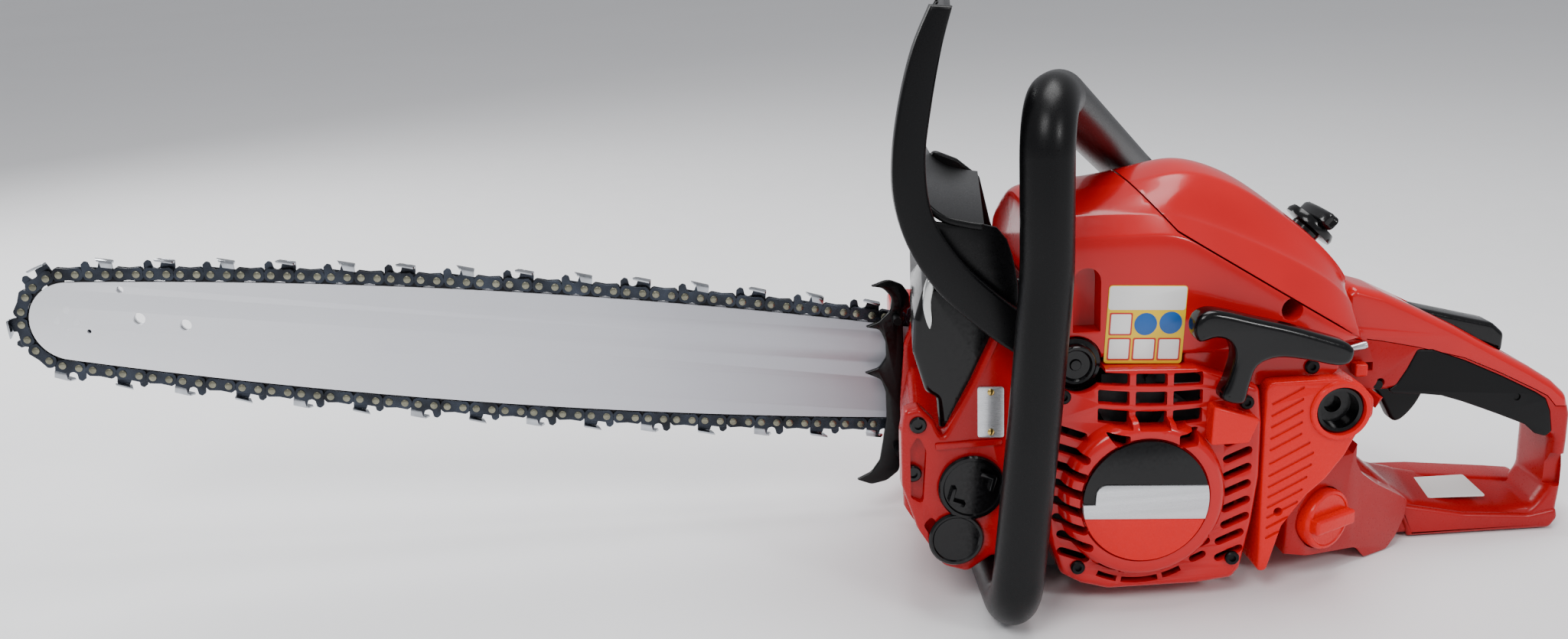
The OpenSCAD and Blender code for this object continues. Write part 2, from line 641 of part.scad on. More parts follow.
// ---- rear handle ----
half_w = grip_w / 2;
module rear_handle() {
    color(dull_red) centred() difference() {
        union() {
            intersection() {
                side(-80, 80) soften(4) polygon(handle_outline);
                linear_extrude(200) polygon([[226.5, -43.5], [244, -43.5], [244, -64], [252, -64],
                    [334, -half_w - 8], [334, -half_w], [450, -half_w], [450, half_w],
                    [334, half_w], [334, 36], [250, 66], [226.5, 66]]);
            }
            side(-half_w - 1.5, half_w + 14) soften(4) polygon([[320, 20], [350, 15], [395, 12],
                [406, 15], [413, 8], [410, 0], [320, 0]]);
        }
        side(-90, 90) soften(3) polygon(finger_outline);
        box([226, -80, 60], [262, -43.5, 130]);
        box([226, -80, 118], [289.5, 80, 170]);
        box([262, -80, 60], [330, -half_w - 4, 150]);
        box([226, half_w + 26, 60], [330, 80, 150]);
        side(-80, -44) offset(delta = 0.5) polygon(side_outline);
        box([226, -30, 98], [272, 30, 130]);
        box([235, -36, 20], [288, 40, 54]);
        side(-7, 7) polygon([[300, 60], [345, 60], [345, 104], [300, 104]]);
        side(-10, 10) polygon([[326, 100], [390, 66], [390, 150], [326, 150]]);
        side(-half_w - 1, half_w + 1) soften(2) offset(delta = 0.3) polygon(grip_outline);
        cap_place() translate([0, 0, -12]) cylinder(h = 30, r = 16.3);
        bar_y(308, 88, -40, 40, 2.55);
        bar_y(switch_at[0], switch_at[1], -30, -14, 3.4);
        box([292.4, -26, 98.2], [302, -12, 102.8]);
    }
}
grip_outline = [[313.5, 84.6], [318, 88], [323, 96], [328, 106], [336, 105.5], [354, 98.5],
    [375, 88.5], [394, 78.5], [400, 75], [403, 68], [405, 56], [402, 53.5], [396, 56], [390, 61.5],
    [343, 80], [333, 82], [316, 83]];
module handle_grip() {
    color(black) centred() difference() {
        side(-half_w, half_w) soften(2) polygon(grip_outline);
        side(-7, 7) polygon([[300, 60], [345.5, 60], [345.5, 104], [300, 104]]);
        side(-10.3, 10.3) polygon([[326, 100], [390.3, 65.6], [390, 150], [326, 150]]);
    }
}
module throttle_trigger() {
    color(black) centred() difference() {
        side(-5.5, 5.5) soften(1) polygon([[303, 84], [303, 92], [308, 95], [330, 96], [341, 92],
            [341, 80], [336, 70], [328, 62], [323, 62], [318, 74], [311, 82]]);
        bar_y(308, 88, -10, 10, 2.56);
    }
}
module trigger_pin() {
    color(steel) centred() bar_y(308, 88, -half_w, half_w, 2.5);
}
module lockout_lever() {
    color(black) centred() union() {
        side(-8.5, 8.5) soften(1) polygon([[328, 118], [331, 125.5], [377, 113.5], [383, 108],
            [383, 98], [376, 101], [345, 112]]);
        bar_y(334, 118, -9.9, 9.9, 2);
    }
}
module choke_lever() {
    color(red) centred() union() {
        box([290, -31, 97], [297, -24.5, 104]);
        box([293, -24.6, 98.6], [296, -14, 102.4]);
    }
}
switch_at = [284, 111];
module stop_switch() {
    color(steel) centred() union() {
        bar_y(switch_at[0], switch_at[1], -30, -15, 3.1);
        translate([switch_at[0], -28, switch_at[1]]) rotate([20, 76, 0]) cylinder(h = 13, r = 2);
    }
}
cap_at = [265.5, -58.9, 32];
cap_turn = 29;
module cap_place() {
    translate(cap_at) rotate([0, 0, cap_turn]) rotate([90, 0, 0]) children();
}
module fuel_cap() {
    color(red) centred() cap_place() union() {
        translate([0, 0, -6]) cylinder(h = 10, r = 16);
        box([-4, -15, 3], [4, 15, 9]);
    }
}
module oil_cap() {
    color(black) centred() union() {
        bar_y(82, 66, -74.5, -54, 15);
        side(-77, -74) polygon([[70, 60], [76, 66], [70, 72], [67, 66]]);
        side(-77, -74) polygon([[94, 60], [88, 66], [94, 72], [97, 66]]);
    }
}
module isolator_caps() {
    color(black) centred() {
        bar_y(74, 39, -73.5, -56, 12);
        bar_y(134, 126, -77, -64, 12);
        difference() {
            bar_y(264, 96, -75.5, -43.7, 12.1);
            bar_y(264, 96, -80, -60, 9.5);
        }
    }
}
module nameplate() {
    color(steel) centred() box([85, -73.4, 92], [98, -72.2, 118]);
}
module cover_screws() {
    color(dark_steel) centred() for (p = [[126, 112], [216, 104], [212, 22], [134, 22]])
        bar_y(p[0], p[1], -79.5, -77.2, 3.5);
}

crankcase();
oil_tank_housing();
engine_cylinder();
piston();
wrist_pin();
connecting_rod();
crank_pin();
crankshaft();
flywheel();
clutch_shoes();
clutch_drum();
rim_sprocket();
oil_pump();
muffler();
muffler_guard();
spark_plug();
ignition_coil();
carburettor();
air_filter();
intake_boot();
top_cover();
cover_latch();
starter_cover();
starter_badge();
starter_pulley();
recoil_spring();
rope_guide();
starter_grip();
side_cover();
clutch_cover();
bar_studs();
bar_nuts();
guide_bar();
nose_sprocket();
drive_links();
tie_straps();
cutters();
chain_rivets();
spiked_bumper();
bumper_screws();
chain_catcher();
tension_screw();
front_handle();
front_handle_mounts();
hand_guard();
guard_pivot();
brake_band();
rear_handle();
handle_grip();
throttle_trigger();
trigger_pin();
lockout_lever();
choke_lever();
stop_switch();
fuel_cap();
oil_cap();
isolator_caps();
nameplate();
cover_screws();
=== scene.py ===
"""Petrol chainsaw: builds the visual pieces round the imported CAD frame."""

import math

import bmesh
import bpy
from mathutils import Matrix, Vector
from mathutils.geometry import tessellate_polygon


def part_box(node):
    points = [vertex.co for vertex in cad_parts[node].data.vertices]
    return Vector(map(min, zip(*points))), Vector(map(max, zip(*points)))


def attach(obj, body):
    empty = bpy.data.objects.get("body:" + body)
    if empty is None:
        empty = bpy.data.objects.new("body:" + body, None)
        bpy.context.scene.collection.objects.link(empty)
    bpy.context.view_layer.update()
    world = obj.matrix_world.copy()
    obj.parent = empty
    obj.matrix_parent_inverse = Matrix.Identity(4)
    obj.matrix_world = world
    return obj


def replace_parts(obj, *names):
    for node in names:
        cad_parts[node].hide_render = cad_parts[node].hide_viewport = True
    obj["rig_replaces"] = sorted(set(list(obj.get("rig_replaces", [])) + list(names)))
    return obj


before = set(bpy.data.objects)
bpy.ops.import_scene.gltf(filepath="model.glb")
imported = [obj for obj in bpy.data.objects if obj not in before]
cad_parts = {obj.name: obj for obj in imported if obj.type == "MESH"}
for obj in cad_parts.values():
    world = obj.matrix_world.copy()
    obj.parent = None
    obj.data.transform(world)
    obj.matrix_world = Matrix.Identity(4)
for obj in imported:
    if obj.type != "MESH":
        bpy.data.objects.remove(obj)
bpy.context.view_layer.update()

MM = 0.001
ROOT = "powerhead"

# ---------------------------------------------------------------- places, millimetres
MID_X = 6.0
CRANK_X, CRANK_Z = 165.0, 70.0
CHAIN_Y = 67.3
CHAIN_PITCH = 16.51
RIM_TEETH = 7
BAR_PITCH = math.radians(7)
NOSE_DISTANCE = 563.0
NOSE_R = 26.5
RAIL_HALF = 37.3
TAIL_U = 47.0
NOSE_TO_APEX = 268.0
APEX_U = NOSE_DISTANCE - NOSE_TO_APEX
DRIVE_COUNT = 78
SPROCKET_R = CHAIN_PITCH * RIM_TEETH / (2 * math.pi)
RIVET_HALF = 3.72
PANEL_TILT = math.radians(-3.3)
BADGE_X, BADGE_Z, BADGE_R = CRANK_X, CRANK_Z - 11, 31.4
OIL_CAP = (82, 66)
LOWER_PLUG = (74, 39)
UPPER_ISOLATOR = (134, 126)
REAR_ISOLATOR = (264, 96)
SWITCH = (284, 111)
STUD_DISTANCES = (68, 92)
BLACK = (0.002, 0.002, 0.0024)


# ---------------------------------------------------------------- outlines
def arc(cx, cz, r, a0, a1, n=10):
    """Points on an arc, angles in degrees."""
    return [(cx + r * math.cos(math.radians(a0 + (a1 - a0) * i / n)),
             cz + r * math.sin(math.radians(a0 + (a1 - a0) * i / n))) for i in range(n + 1)]


def rounded(points, radius, steps=5):
    """A closed outline with its corners rounded. radius is one value, or one for each point."""
    out = []
    n = len(points)
    radii = radius if isinstance(radius, (list, tuple)) else [radius] * n
    for i in range(n):
        p = Vector(points[i])
        a = Vector(points[i - 1]) - p
        b = Vector(points[(i + 1) % n]) - p
        half = a.angle(b) / 2
        reach = min(radii[i] / max(math.tan(half), 1e-3), a.length * 0.48, b.length * 0.48)
        start, end = p + a.normalized() * reach, p + b.normalized() * reach
        for k in range(steps + 1):
            t = k / steps
            out.append(tuple((1 - t) ** 2 * start + 2 * t * (1 - t) * p + t * t * end))
    return out


def smooth(points, steps=6, closed=False):
    """A Catmull-Rom curve through the points, of any dimension."""
    pts = [Vector(p) for p in points]
    n = len(pts)
    out = []
    for i in range(n if closed else n - 1):
        p1, p2 = pts[i], pts[(i + 1) % n]
        p0 = pts[i - 1] if closed or i else p1
        p3 = pts[(i + 2) % n] if closed or i + 2 < n else p2
        for k in range(steps):
            t = k / steps
            out.append(tuple(0.5 * ((2 * p1) + (p2 - p0) * t + (2 * p0 - 5 * p1 + 4 * p2 - p3) * t * t
                                    + (3 * p1 - p0 - 3 * p2 + p3) * t ** 3)))
    if not closed:
        out.append(tuple(pts[-1]))
    return out


def area(outline):
    """The outline's area, positive where it runs anticlockwise."""
    return sum(a[0] * b[1] - b[0] * a[1] for a, b in zip(outline, outline[1:] + outline[:1])) / 2


def inset(outline, d):
    """The outline moved inwards by d, or outwards where d is negative."""
    n = len(outline)
    turn = 1 if area(outline) > 0 else -1
    out = []
    for i in range(n):
        p = Vector(outline[i])
        a = (p - Vector(outline[i - 1])).normalized()
        b = (Vector(outline[(i + 1) % n]) - p).normalized()
        na, nb = Vector((-a.y, a.x)), Vector((-b.y, b.x))
        m = (na + nb)
        m = m.normalized() if m.length > 1e-6 else na
        out.append(tuple(p + m * (turn * d / max(m.dot(na), 0.5))))
    return out


def turned(points, angle, centre=(0, 0)):
    """The points turned about a centre."""
    c, s = math.cos(angle), math.sin(angle)
    return [(centre[0] + (x - centre[0]) * c - (z - centre[1]) * s,
             centre[1] + (x - centre[0]) * s + (z - centre[1]) * c) for x, z in points]


def circle_outline(cx, cz, r, n=40):
    """A closed circle about a centre."""
    return [(cx + r * math.cos(2 * math.pi * i / n), cz + r * math.sin(2 * math.pi * i / n))
            for i in range(n)]


def slot_outline(cx, cz, length, height, angle=0.0, steps=5):
    """A slot with round ends, its length along the angle in degrees."""
    r = height / 2
    h = length / 2 - r
    pts = arc(h, 0, r, -90, 90, steps) + arc(-h, 0, r, 90, 270, steps)
    return turned([(cx + x, cz + z) for x, z in pts], math.radians(angle), (cx, cz))


# ---------------------------------------------------------------- meshes
def in_metres(v):
    """A drawn point, millimetres, as a place in the row frame."""
    return (v[0] + MID_X) * MM, v[1] * MM, v[2] * MM


def finish_mesh(name, verts, faces, material, body=ROOT, slot=None, replaces=(), sharp=35):
    """Makes an object of a mesh given in millimetres, with one material, riding on a body."""
    mesh = bpy.data.meshes.new(name)
    mesh.from_pydata([in_metres(v) for v in verts], [], faces)
    mesh.validate()
    bm = bmesh.new()
    bm.from_mesh(mesh)
    bmesh.ops.remove_doubles(bm, verts=bm.verts, dist=1e-6)
    bmesh.ops.recalc_face_normals(bm, faces=bm.faces)
    bm.to_mesh(mesh)
    bm.free()
    return place(name, mesh, material, body, slot, replaces, sharp)


def place(name, mesh, material, body=ROOT, slot=None, replaces=(), sharp=35):
    """Links a mesh as an object that rides on a body and replaces CAD nodes. The slot argument is not used.
    """
    obj = bpy.data.objects.new(name, mesh)
    bpy.context.scene.collection.objects.link(obj)
    shade(obj, sharp)
    if material:
        mesh.materials.clear()
        mesh.materials.append(material)
    if body:
        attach(obj, body)
    if replaces:
        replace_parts(obj, *replaces)
    return obj


def shade(obj, sharp=35):
    """Smooth shading, with edges above the angle kept sharp."""
    obj.data.shade_smooth()
    obj.data.set_sharp_from_angle(angle=math.radians(sharp))


def baked(obj):
    """The object's mesh with its modifiers applied."""
    bpy.context.view_layer.update()
    graph = bpy.context.evaluated_depsgraph_get()
    mesh = bpy.data.meshes.new_from_object(obj.evaluated_get(graph))
    old = obj.data
    obj.modifiers.clear()
    obj.data = mesh
    bpy.data.meshes.remove(old)
    return obj


def boolean(obj, others, operation="DIFFERENCE", sharp=35):
    """Cuts the others from obj, joins them to it or keeps what they share, then removes them."""
    for other in others:
        mod = obj.modifiers.new("cut", "BOOLEAN")
        mod.operation = operation
        mod.solver = "MANIFOLD"
        mod.object = other
    baked(obj)
    for other in others:
        data = other.data
        bpy.data.objects.remove(other)
        bpy.data.meshes.remove(data)
    shade(obj, sharp)
    return obj


def crease(obj, pairs, value):
    """Keeps the edges between the pairs of vertices firm when the mesh is subdivided."""
    firm = {tuple(sorted(pair)) for pair in pairs}
    layer = obj.data.attributes.new("crease_edge", "FLOAT", "EDGE")
    for edge in obj.data.edges:
        layer.data[edge.index].value = value if tuple(sorted(edge.vertices)) in firm else 0.0


def split(obj, name, outline, gap=0.3):
    """Parts obj along a closed outline: obj keeps the outside, the new object is the inside."""
    inside = obj.copy()
    inside.data = obj.data.copy()
    inside.name = name
    bpy.context.scene.collection.objects.link(inside)
    if "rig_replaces" in inside:
        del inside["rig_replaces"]
    boolean(obj, [cutter(inset(outline, -gap), -120, 120)])
    boolean(inside, [cutter(inset(outline, gap), -120, 120)], "INTERSECT")
    return inside


def bevelled(obj, width, segments=2, angle=35):
    """Rounds the object's edges above the angle."""
    mod = obj.modifiers.new("bevel", "BEVEL")
    mod.width = width * MM
    mod.segments = segments
    mod.limit_method = "ANGLE"
    mod.angle_limit = math.radians(angle)
    baked(obj)
    shade(obj)
    return obj


def pillow_data(outline, y0, y1, r, hole=None, steps=5, depth=None):
    """A slab with rounded edges: the outline in X and Z, its thickness from y0 to y1."""
    r = min(r, (y1 - y0) / 2 - 0.01)
    depth = depth or r
    if area(outline) < 0:
        outline = outline[::-1]
    levels = []
    for k in range(steps + 1):
        a = math.pi / 2 * k / steps
        levels.append((r * (1 - math.sin(a)), y0 + depth * (1 - math.cos(a))))
    for k in range(steps, -1, -1):
        a = math.pi / 2 * k / steps
        levels.append((r * (1 - math.sin(a)), y1 - depth * (1 - math.cos(a))))
    verts, faces = [], []

    def wall(ring, sign):
        base = len(verts)
        n = len(ring)
        for d, y in levels:
            verts.extend((x, y, z) for x, z in inset(ring, sign * d))
        for j in range(len(levels) - 1):
            for i in range(n):
                a, b = base + j * n + i, base + j * n + (i + 1) % n
                faces.append((a, b, b + n, a + n))
        return base, n

    base, n = wall(outline, 1)
    rings = [(base, n)]
    if hole:
        rings.append(wall(hole if area(hole) > 0 else hole[::-1], -1))
    for level in (0, len(levels) - 1):
        loops = [[verts[b + level * m + i] for i in range(m)] for b, m in rings]
        index = [b + level * m + i for b, m in rings for i in range(m)]
        flat = [[Vector((x, z, 0)) for x, _, z in loop] for loop in loops]
        faces.extend(tuple(index[i] for i in t) for t in tessellate_polygon(flat))
    return verts, faces


def pillow(name, outline, y0, y1, r, material, hole=None, steps=5, axis="y", at=None, **kw):
    """A rounded slab. axis z makes the outline X and Y, with the thickness along Z."""
    verts, faces = pillow_data(outline, y0, y1, r, hole, steps)
    if axis == "z":
        verts = [(x, z, y) for x, y, z in verts]
    if at:
        verts = [at @ Vector(v) for v in verts]
    return finish_mesh(name, verts, faces, material, **kw)


def cutter(outline, y0, y1, axis="y", at=None):
    """A plain prism used to cut."""
    n = len(outline)
    verts = [(x, y0, z) for x, z in outline] + [(x, y1, z) for x, z in outline]
    faces = [(i, (i + 1) % n, n + (i + 1) % n, n + i) for i in range(n)]
    tris = tessellate_polygon([[Vector((x, z, 0)) for x, z in outline]])
    faces += [tuple(t) for t in tris] + [tuple(n + i for i in reversed(t)) for t in tris]
    if axis == "z":
        verts = [(x, z, y) for x, y, z in verts]
    if at:
        verts = [at @ Vector(v) for v in verts]
    return finish_mesh("cutter", verts, faces, None, body=None)


def lathe(name, profile, at, material, segments=48, **kw):
    """A turned piece. profile is (radius, height) pairs, at is a matrix that puts +Z on its axis."""
    verts, faces = [], []
    n = segments
    for r, h in profile:
        for i in range(n):
            a = 2 * math.pi * i / n
            verts.append(at @ Vector((r * math.cos(a), r * math.sin(a), h)))
    for j in range(len(profile) - 1):
        for i in range(n):
            a, b = j * n + i, j * n + (i + 1) % n
            faces.append((a, b, b + n, a + n))
    for j, flip in ((0, True), (len(profile) - 1, False)):
        if profile[j][0] > 1e-6:
            ring = [j * n + i for i in range(n)]
            faces.append(tuple(reversed(ring)) if flip else tuple(ring))
    return finish_mesh(name, verts, faces, material, **kw)


def facing_left(x, y, z):
    """A matrix whose +Z points to -Y, at the given place."""
    return Matrix.Translation((x, y, z)) @ Matrix.Rotation(math.radians(90), 4, "X")


def facing_right(x, y, z):
    """A matrix whose +Z points to +Y, at the given place."""
    return Matrix.Translation((x, y, z)) @ Matrix.Rotation(math.radians(-90), 4, "X")


def corner_path(points, radii, steps=10):
    """A polyline in 3-D with its inner corners replaced by arcs."""
    pts = [Vector(p) for p in points]
    out = [pts[0]]
    for i in range(1, len(pts) - 1):
        p, r = pts[i], radii[i - 1]
        u, v = (pts[i - 1] - p).normalized(), (pts[i + 1] - p).normalized()
        half = u.angle(v) / 2
        middle = p + (u + v).normalized() * r / math.sin(half)
        start, end = p + u * r / math.tan(half) - middle, p + v * r / math.tan(half) - middle
        across = start.normalized()
        other = (end - across * end.dot(across)).normalized()
        turn = math.pi - 2 * half
        for k in range(steps + 1):
            a = turn * k / steps
            out.append(middle + r * (across * math.cos(a) + other * math.sin(a)))
    out.append(pts[-1])
    return out


def swept(name, line, ring, material, **kw):
    """A section, (across, up) pairs, carried along a line without twist."""
    n = len(line)
    tangents = [(line[min(i + 1, n - 1)] - line[max(i - 1, 0)]).normalized() for i in range(n)]
    side = tangents[0].orthogonal().normalized()
    verts, faces = [], []
    for i in range(n):
        t = tangents[i]
        side = (side - t * side.dot(t)).normalized()
        up = t.cross(side)
        verts.extend(line[i] + side * a + up * b for a, b in ring)
    m = len(ring)
    for i in range(n - 1):
        for k in range(m):
            a, b = i * m + k, i * m + (k + 1) % m
            faces.append((a, b, b + m, a + m))
    faces.append(tuple(reversed(range(m))))
    faces.append(tuple((n - 1) * m + k for k in range(m)))
    return finish_mesh(name, verts, faces, material, **kw)


def merged(name, parts, material, **kw):
    """One object of many (verts, faces) lists."""
    verts, faces = [], []
    for v, f in parts:
        base = len(verts)
        verts.extend(v)
        faces.extend(tuple(base + i for i in face) for face in f)
    mesh = bpy.data.meshes.new(name)
    mesh.from_pydata([in_metres(v) for v in verts], [], faces)
    mesh.validate()
    bm = bmesh.new()
    bm.from_mesh(mesh)
    bmesh.ops.recalc_face_normals(bm, faces=bm.faces)
    bm.to_mesh(mesh)
    bm.free()
    return place(name, mesh, material, **kw)


# ---------------------------------------------------------------- materials
def node_material(name, base, metallic=0.0, rough=0.4, coat=0.0, coat_rough=0.08, spread=0.12,
                  grain=900.0, bump=0.02, rough_spread=0.08, blotch=12.0, tint=None, streak=None,
                  shine=0.5):
    """Principled material with large colour variation, fine grain in its roughness, and a bump."""
    mat = bpy.data.materials.new(name)
    mat.use_nodes = True
    tree = mat.node_tree
    tree.nodes.clear()
    out = tree.nodes.new("ShaderNodeOutputMaterial")
    shader = tree.nodes.new("ShaderNodeBsdfPrincipled")
    tree.links.new(shader.outputs[0], out.inputs[0])
    shader.inputs["Metallic"].default_value = metallic
    shader.inputs["Coat Weight"].default_value = coat
    shader.inputs["Specular IOR Level"].default_value = shine
    shader.inputs["Coat Roughness"].default_value = coat_rough
    place_node = tree.nodes.new("ShaderNodeTexCoord")
    mapping = tree.nodes.new("ShaderNodeMapping")
    mapping.inputs["Scale"].default_value = streak or (1, 1, 1)
    tree.links.new(place_node.outputs["Object"], mapping.inputs["Vector"])
    broad = tree.nodes.new("ShaderNodeTexNoise")
    broad.inputs["Scale"].default_value = blotch
    broad.inputs["Detail"].default_value = 3
    fine = tree.nodes.new("ShaderNodeTexNoise")
    fine.inputs["Scale"].default_value = grain
    fine.inputs["Detail"].default_value = 4
    tree.links.new(mapping.outputs[0], broad.inputs["Vector"])
    tree.links.new(mapping.outputs[0], fine.inputs["Vector"])
    ramp = tree.nodes.new("ShaderNodeValToRGB")
    dark = [c * (1 - spread) for c in base]
    light = tint or [min(1, c * (1 + spread)) for c in base]
    ramp.color_ramp.elements[0].position = 0.3
    ramp.color_ramp.elements[1].position = 0.7
    ramp.color_ramp.elements[0].color = (*dark, 1)
    ramp.color_ramp.elements[1].color = (*light, 1)
    tree.links.new(broad.outputs["Fac"], ramp.inputs["Fac"])
    tree.links.new(ramp.outputs["Color"], shader.inputs["Base Color"])
    spread_node = tree.nodes.new("ShaderNodeMapRange")
    spread_node.inputs["From Min"].default_value = 0.3
    spread_node.inputs["From Max"].default_value = 0.7
    spread_node.inputs["To Min"].default_value = max(0.03, rough - rough_spread)
    spread_node.inputs["To Max"].default_value = min(1, rough + rough_spread)
    tree.links.new(fine.outputs["Fac"], spread_node.inputs["Value"])
    tree.links.new(spread_node.outputs["Result"], shader.inputs["Roughness"])
    if bump:
        node = tree.nodes.new("ShaderNodeBump")
        node.inputs["Strength"].default_value = bump
        node.inputs["Distance"].default_value = 0.0001
        tree.links.new(fine.outputs["Fac"], node.inputs["Height"])
        tree.links.new(node.outputs["Normal"], shader.inputs["Normal"])
    return mat


def bar_material():
    """Silver paint with painted light: lighter towards the nose, darker towards the root."""
    mat = node_material("bar_silver", (0.62, 0.63, 0.66), metallic=0.35, rough=0.42, coat=0.15,
                        spread=0.05, grain=2500, bump=0.05, blotch=6)
    tree = mat.node_tree
    ramp = next(n for n in tree.nodes if n.type == "VALTORGB")
    shader = next(n for n in tree.nodes if n.type == "BSDF_PRINCIPLED")
    place_node = next(n for n in tree.nodes if n.type == "TEX_COORD")
    split = tree.nodes.new("ShaderNodeSeparateXYZ")
    tree.links.new(place_node.outputs["Object"], split.inputs[0])
    along = tree.nodes.new("ShaderNodeMapRange")
    along.inputs["From Min"].default_value = -0.40
    along.inputs["From Max"].default_value = 0.05
    along.inputs["To Min"].default_value = 0.0
    along.inputs["To Max"].default_value = 1.0
    tree.links.new(split.outputs["X"], along.inputs["Value"])
    # Painted light: the paint is made lighter towards the nose and darker towards the root, as the light
    # falls along the bar.
    painted_light_ramp = tree.nodes.new("ShaderNodeValToRGB")
    painted_light_ramp.color_ramp.elements[0].color = (0.86, 0.87, 0.9, 1)
    painted_light_ramp.color_ramp.elements[1].color = (0.52, 0.53, 0.58, 1)
    tree.links.new(along.outputs["Result"], painted_light_ramp.inputs["Fac"])
    mix = tree.nodes.new("ShaderNodeMix")
    mix.data_type = "RGBA"
    mix.blend_type = "MULTIPLY"
    mix.inputs["Factor"].default_value = 0.6
    colours = [s for s in mix.inputs if s.type == "RGBA"]
    tree.links.new(painted_light_ramp.outputs["Color"], colours[0])
    tree.links.new(ramp.outputs["Color"], colours[1])
    result = next(s for s in mix.outputs if s.type == "RGBA")
    tree.links.new(result, shader.inputs["Base Color"])
    ramp.color_ramp.elements[0].color = (0.9, 0.9, 0.92, 1)
    ramp.color_ramp.elements[1].color = (1, 1, 1, 1)
    return mat


M = {
    "red": node_material("red_gloss", (0.5, 0.003, 0.006), rough=0.2, coat=0.22, coat_rough=0.04,
                         shine=0.28, spread=0.1, grain=420, bump=0.03, rough_spread=0.04),
    "red_front": node_material("red_enamel", (0.36, 0.003, 0.005), rough=0.26, coat=0.15, shine=0.22,
                               spread=0.1,
                               grain=380, bump=0.05, rough_spread=0.05),
    "red_tank": node_material("red_moulded", (0.36, 0.004, 0.006), rough=0.32, coat=0.1, coat_rough=0.12,
                              shine=0.24,
                              spread=0.12, grain=700, bump=0.06),
    "red_bright": node_material("red_panel", (0.68, 0.005, 0.006), rough=0.26, coat=0.1, shine=0.2,
                                spread=0.06,
                                grain=500, bump=0.02),
    "black": node_material("black_gloss", BLACK, rough=0.17, shine=0.32, spread=0.3,
                           grain=600, bump=0.03),
    "guard": node_material("black_moulded", BLACK, rough=0.33, shine=0.2, spread=0.25,
                           grain=1400, bump=0.12),
    "satin": node_material("black_satin", BLACK, rough=0.4, shine=0.2, spread=0.2,
                           grain=1800, bump=0.14),
    "tube": node_material("tube_coating", BLACK, rough=0.34, shine=0.2, spread=0.2,
                          grain=2200, bump=0.12, rough_spread=0.1),
    "bar": bar_material(),
    "rail": node_material("rail_steel", (0.36, 0.37, 0.38), metallic=0.95, rough=0.32, spread=0.2,
                          grain=300, streak=(1, 1, 14), bump=0.06),
    "chain": node_material("chain_blued", (0.02, 0.022, 0.027), metallic=0.8, rough=0.3, spread=0.35,
                           grain=900, bump=0.12, blotch=60, tint=(0.045, 0.055, 0.075)),
    "drive": node_material("chain_dark", (0.012, 0.012, 0.014), metallic=0.7, rough=0.4, spread=0.3,
                           grain=900, bump=0.1, blotch=80),
    "rivet": node_material("rivet_steel", (0.22, 0.215, 0.16), metallic=0.9, rough=0.3, spread=0.3,
                           grain=1500, bump=0.08, blotch=150),
    "chrome": node_material("cutter_chrome", (0.42, 0.44, 0.47), metallic=1.0, rough=0.16, spread=0.25,
                            grain=700, bump=0.05, blotch=90),
    "alloy": node_material("cast_alloy", (0.42, 0.43, 0.44), metallic=0.9, rough=0.5, spread=0.15,
                           grain=800, bump=0.3),
    # Dark cast alloy; on the flywheel it is painted shade for the dark inside of the fan housing.
    "dark_alloy_and_shade": node_material("cast_dark_alloy_and_painted_shade", (0.05, 0.05, 0.052), metallic=0.7, rough=0.55,
                                spread=0.2, grain=800, bump=0.3),
    "steel": node_material("machined_steel", (0.5, 0.51, 0.52), metallic=1.0, rough=0.28, spread=0.12,
                           grain=500, streak=(1, 1, 9), bump=0.05),
    "badge": node_material("brushed_panel", (0.62, 0.63, 0.65), metallic=0.75, rough=0.3, spread=0.08,
                           grain=300, streak=(1, 1, 30), bump=0.03),
    "brass": node_material("brass", (0.6, 0.42, 0.12), metallic=1.0, rough=0.22, spread=0.15, grain=900),
    "shield": node_material("bright_shield", (0.6, 0.61, 0.6), metallic=1.0, rough=0.18, spread=0.2,
                            grain=120, bump=0.1),
    "white": node_material("label_white", (0.82, 0.82, 0.8), rough=0.4, spread=0.03, grain=900),
    "yellow": node_material("label_yellow", (0.85, 0.55, 0.01), rough=0.4, spread=0.05, grain=900),
    "blue": node_material("label_blue", (0.01, 0.1, 0.36), rough=0.4, spread=0.05, grain=900),
    "label_red": node_material("label_red", (0.55, 0.03, 0.02), rough=0.4, spread=0.05, grain=900),
    "felt": node_material("filter_felt", (0.75, 0.74, 0.7), rough=0.9, spread=0.08, grain=1200, bump=0.5),
    "ceramic": node_material("glazed_ceramic", (0.8, 0.8, 0.78), rough=0.15, coat=0.5, spread=0.03),
    "rubber": node_material("rubber_boot", (0.012, 0.012, 0.012), rough=0.65, spread=0.2, grain=700,
                            bump=0.2),
}

NODE_LOOK = {
    "crankcase": "dark_alloy_and_shade", "engine_cylinder": "alloy", "piston": "alloy", "wrist_pin": "steel",
    # The flywheel's dark alloy is painted shade for the inside of the fan housing.
    "connecting_rod": "steel", "crank_pin": "steel", "crankshaft": "steel", "flywheel": "dark_alloy_and_shade",
    "clutch_shoes": "dark_alloy_and_shade", "clutch_drum": "dark_alloy_and_shade", "rim_sprocket": "steel",
    "oil_pump": "dark_alloy_and_shade", "muffler": "dark_alloy_and_shade", "spark_plug": "ceramic", "ignition_coil": "satin",
    "carburettor": "alloy", "intake_boot": "rubber", "starter_pulley": "satin",
    "recoil_spring": "steel", "bar_studs": "steel", "nose_sprocket": "chain", "tension_screw": "steel",
    "brake_band": "steel", "trigger_pin": "satin", "front_handle_mounts": "rubber",
    "chain_catcher": "alloy", "guard_pivot": "steel",
}


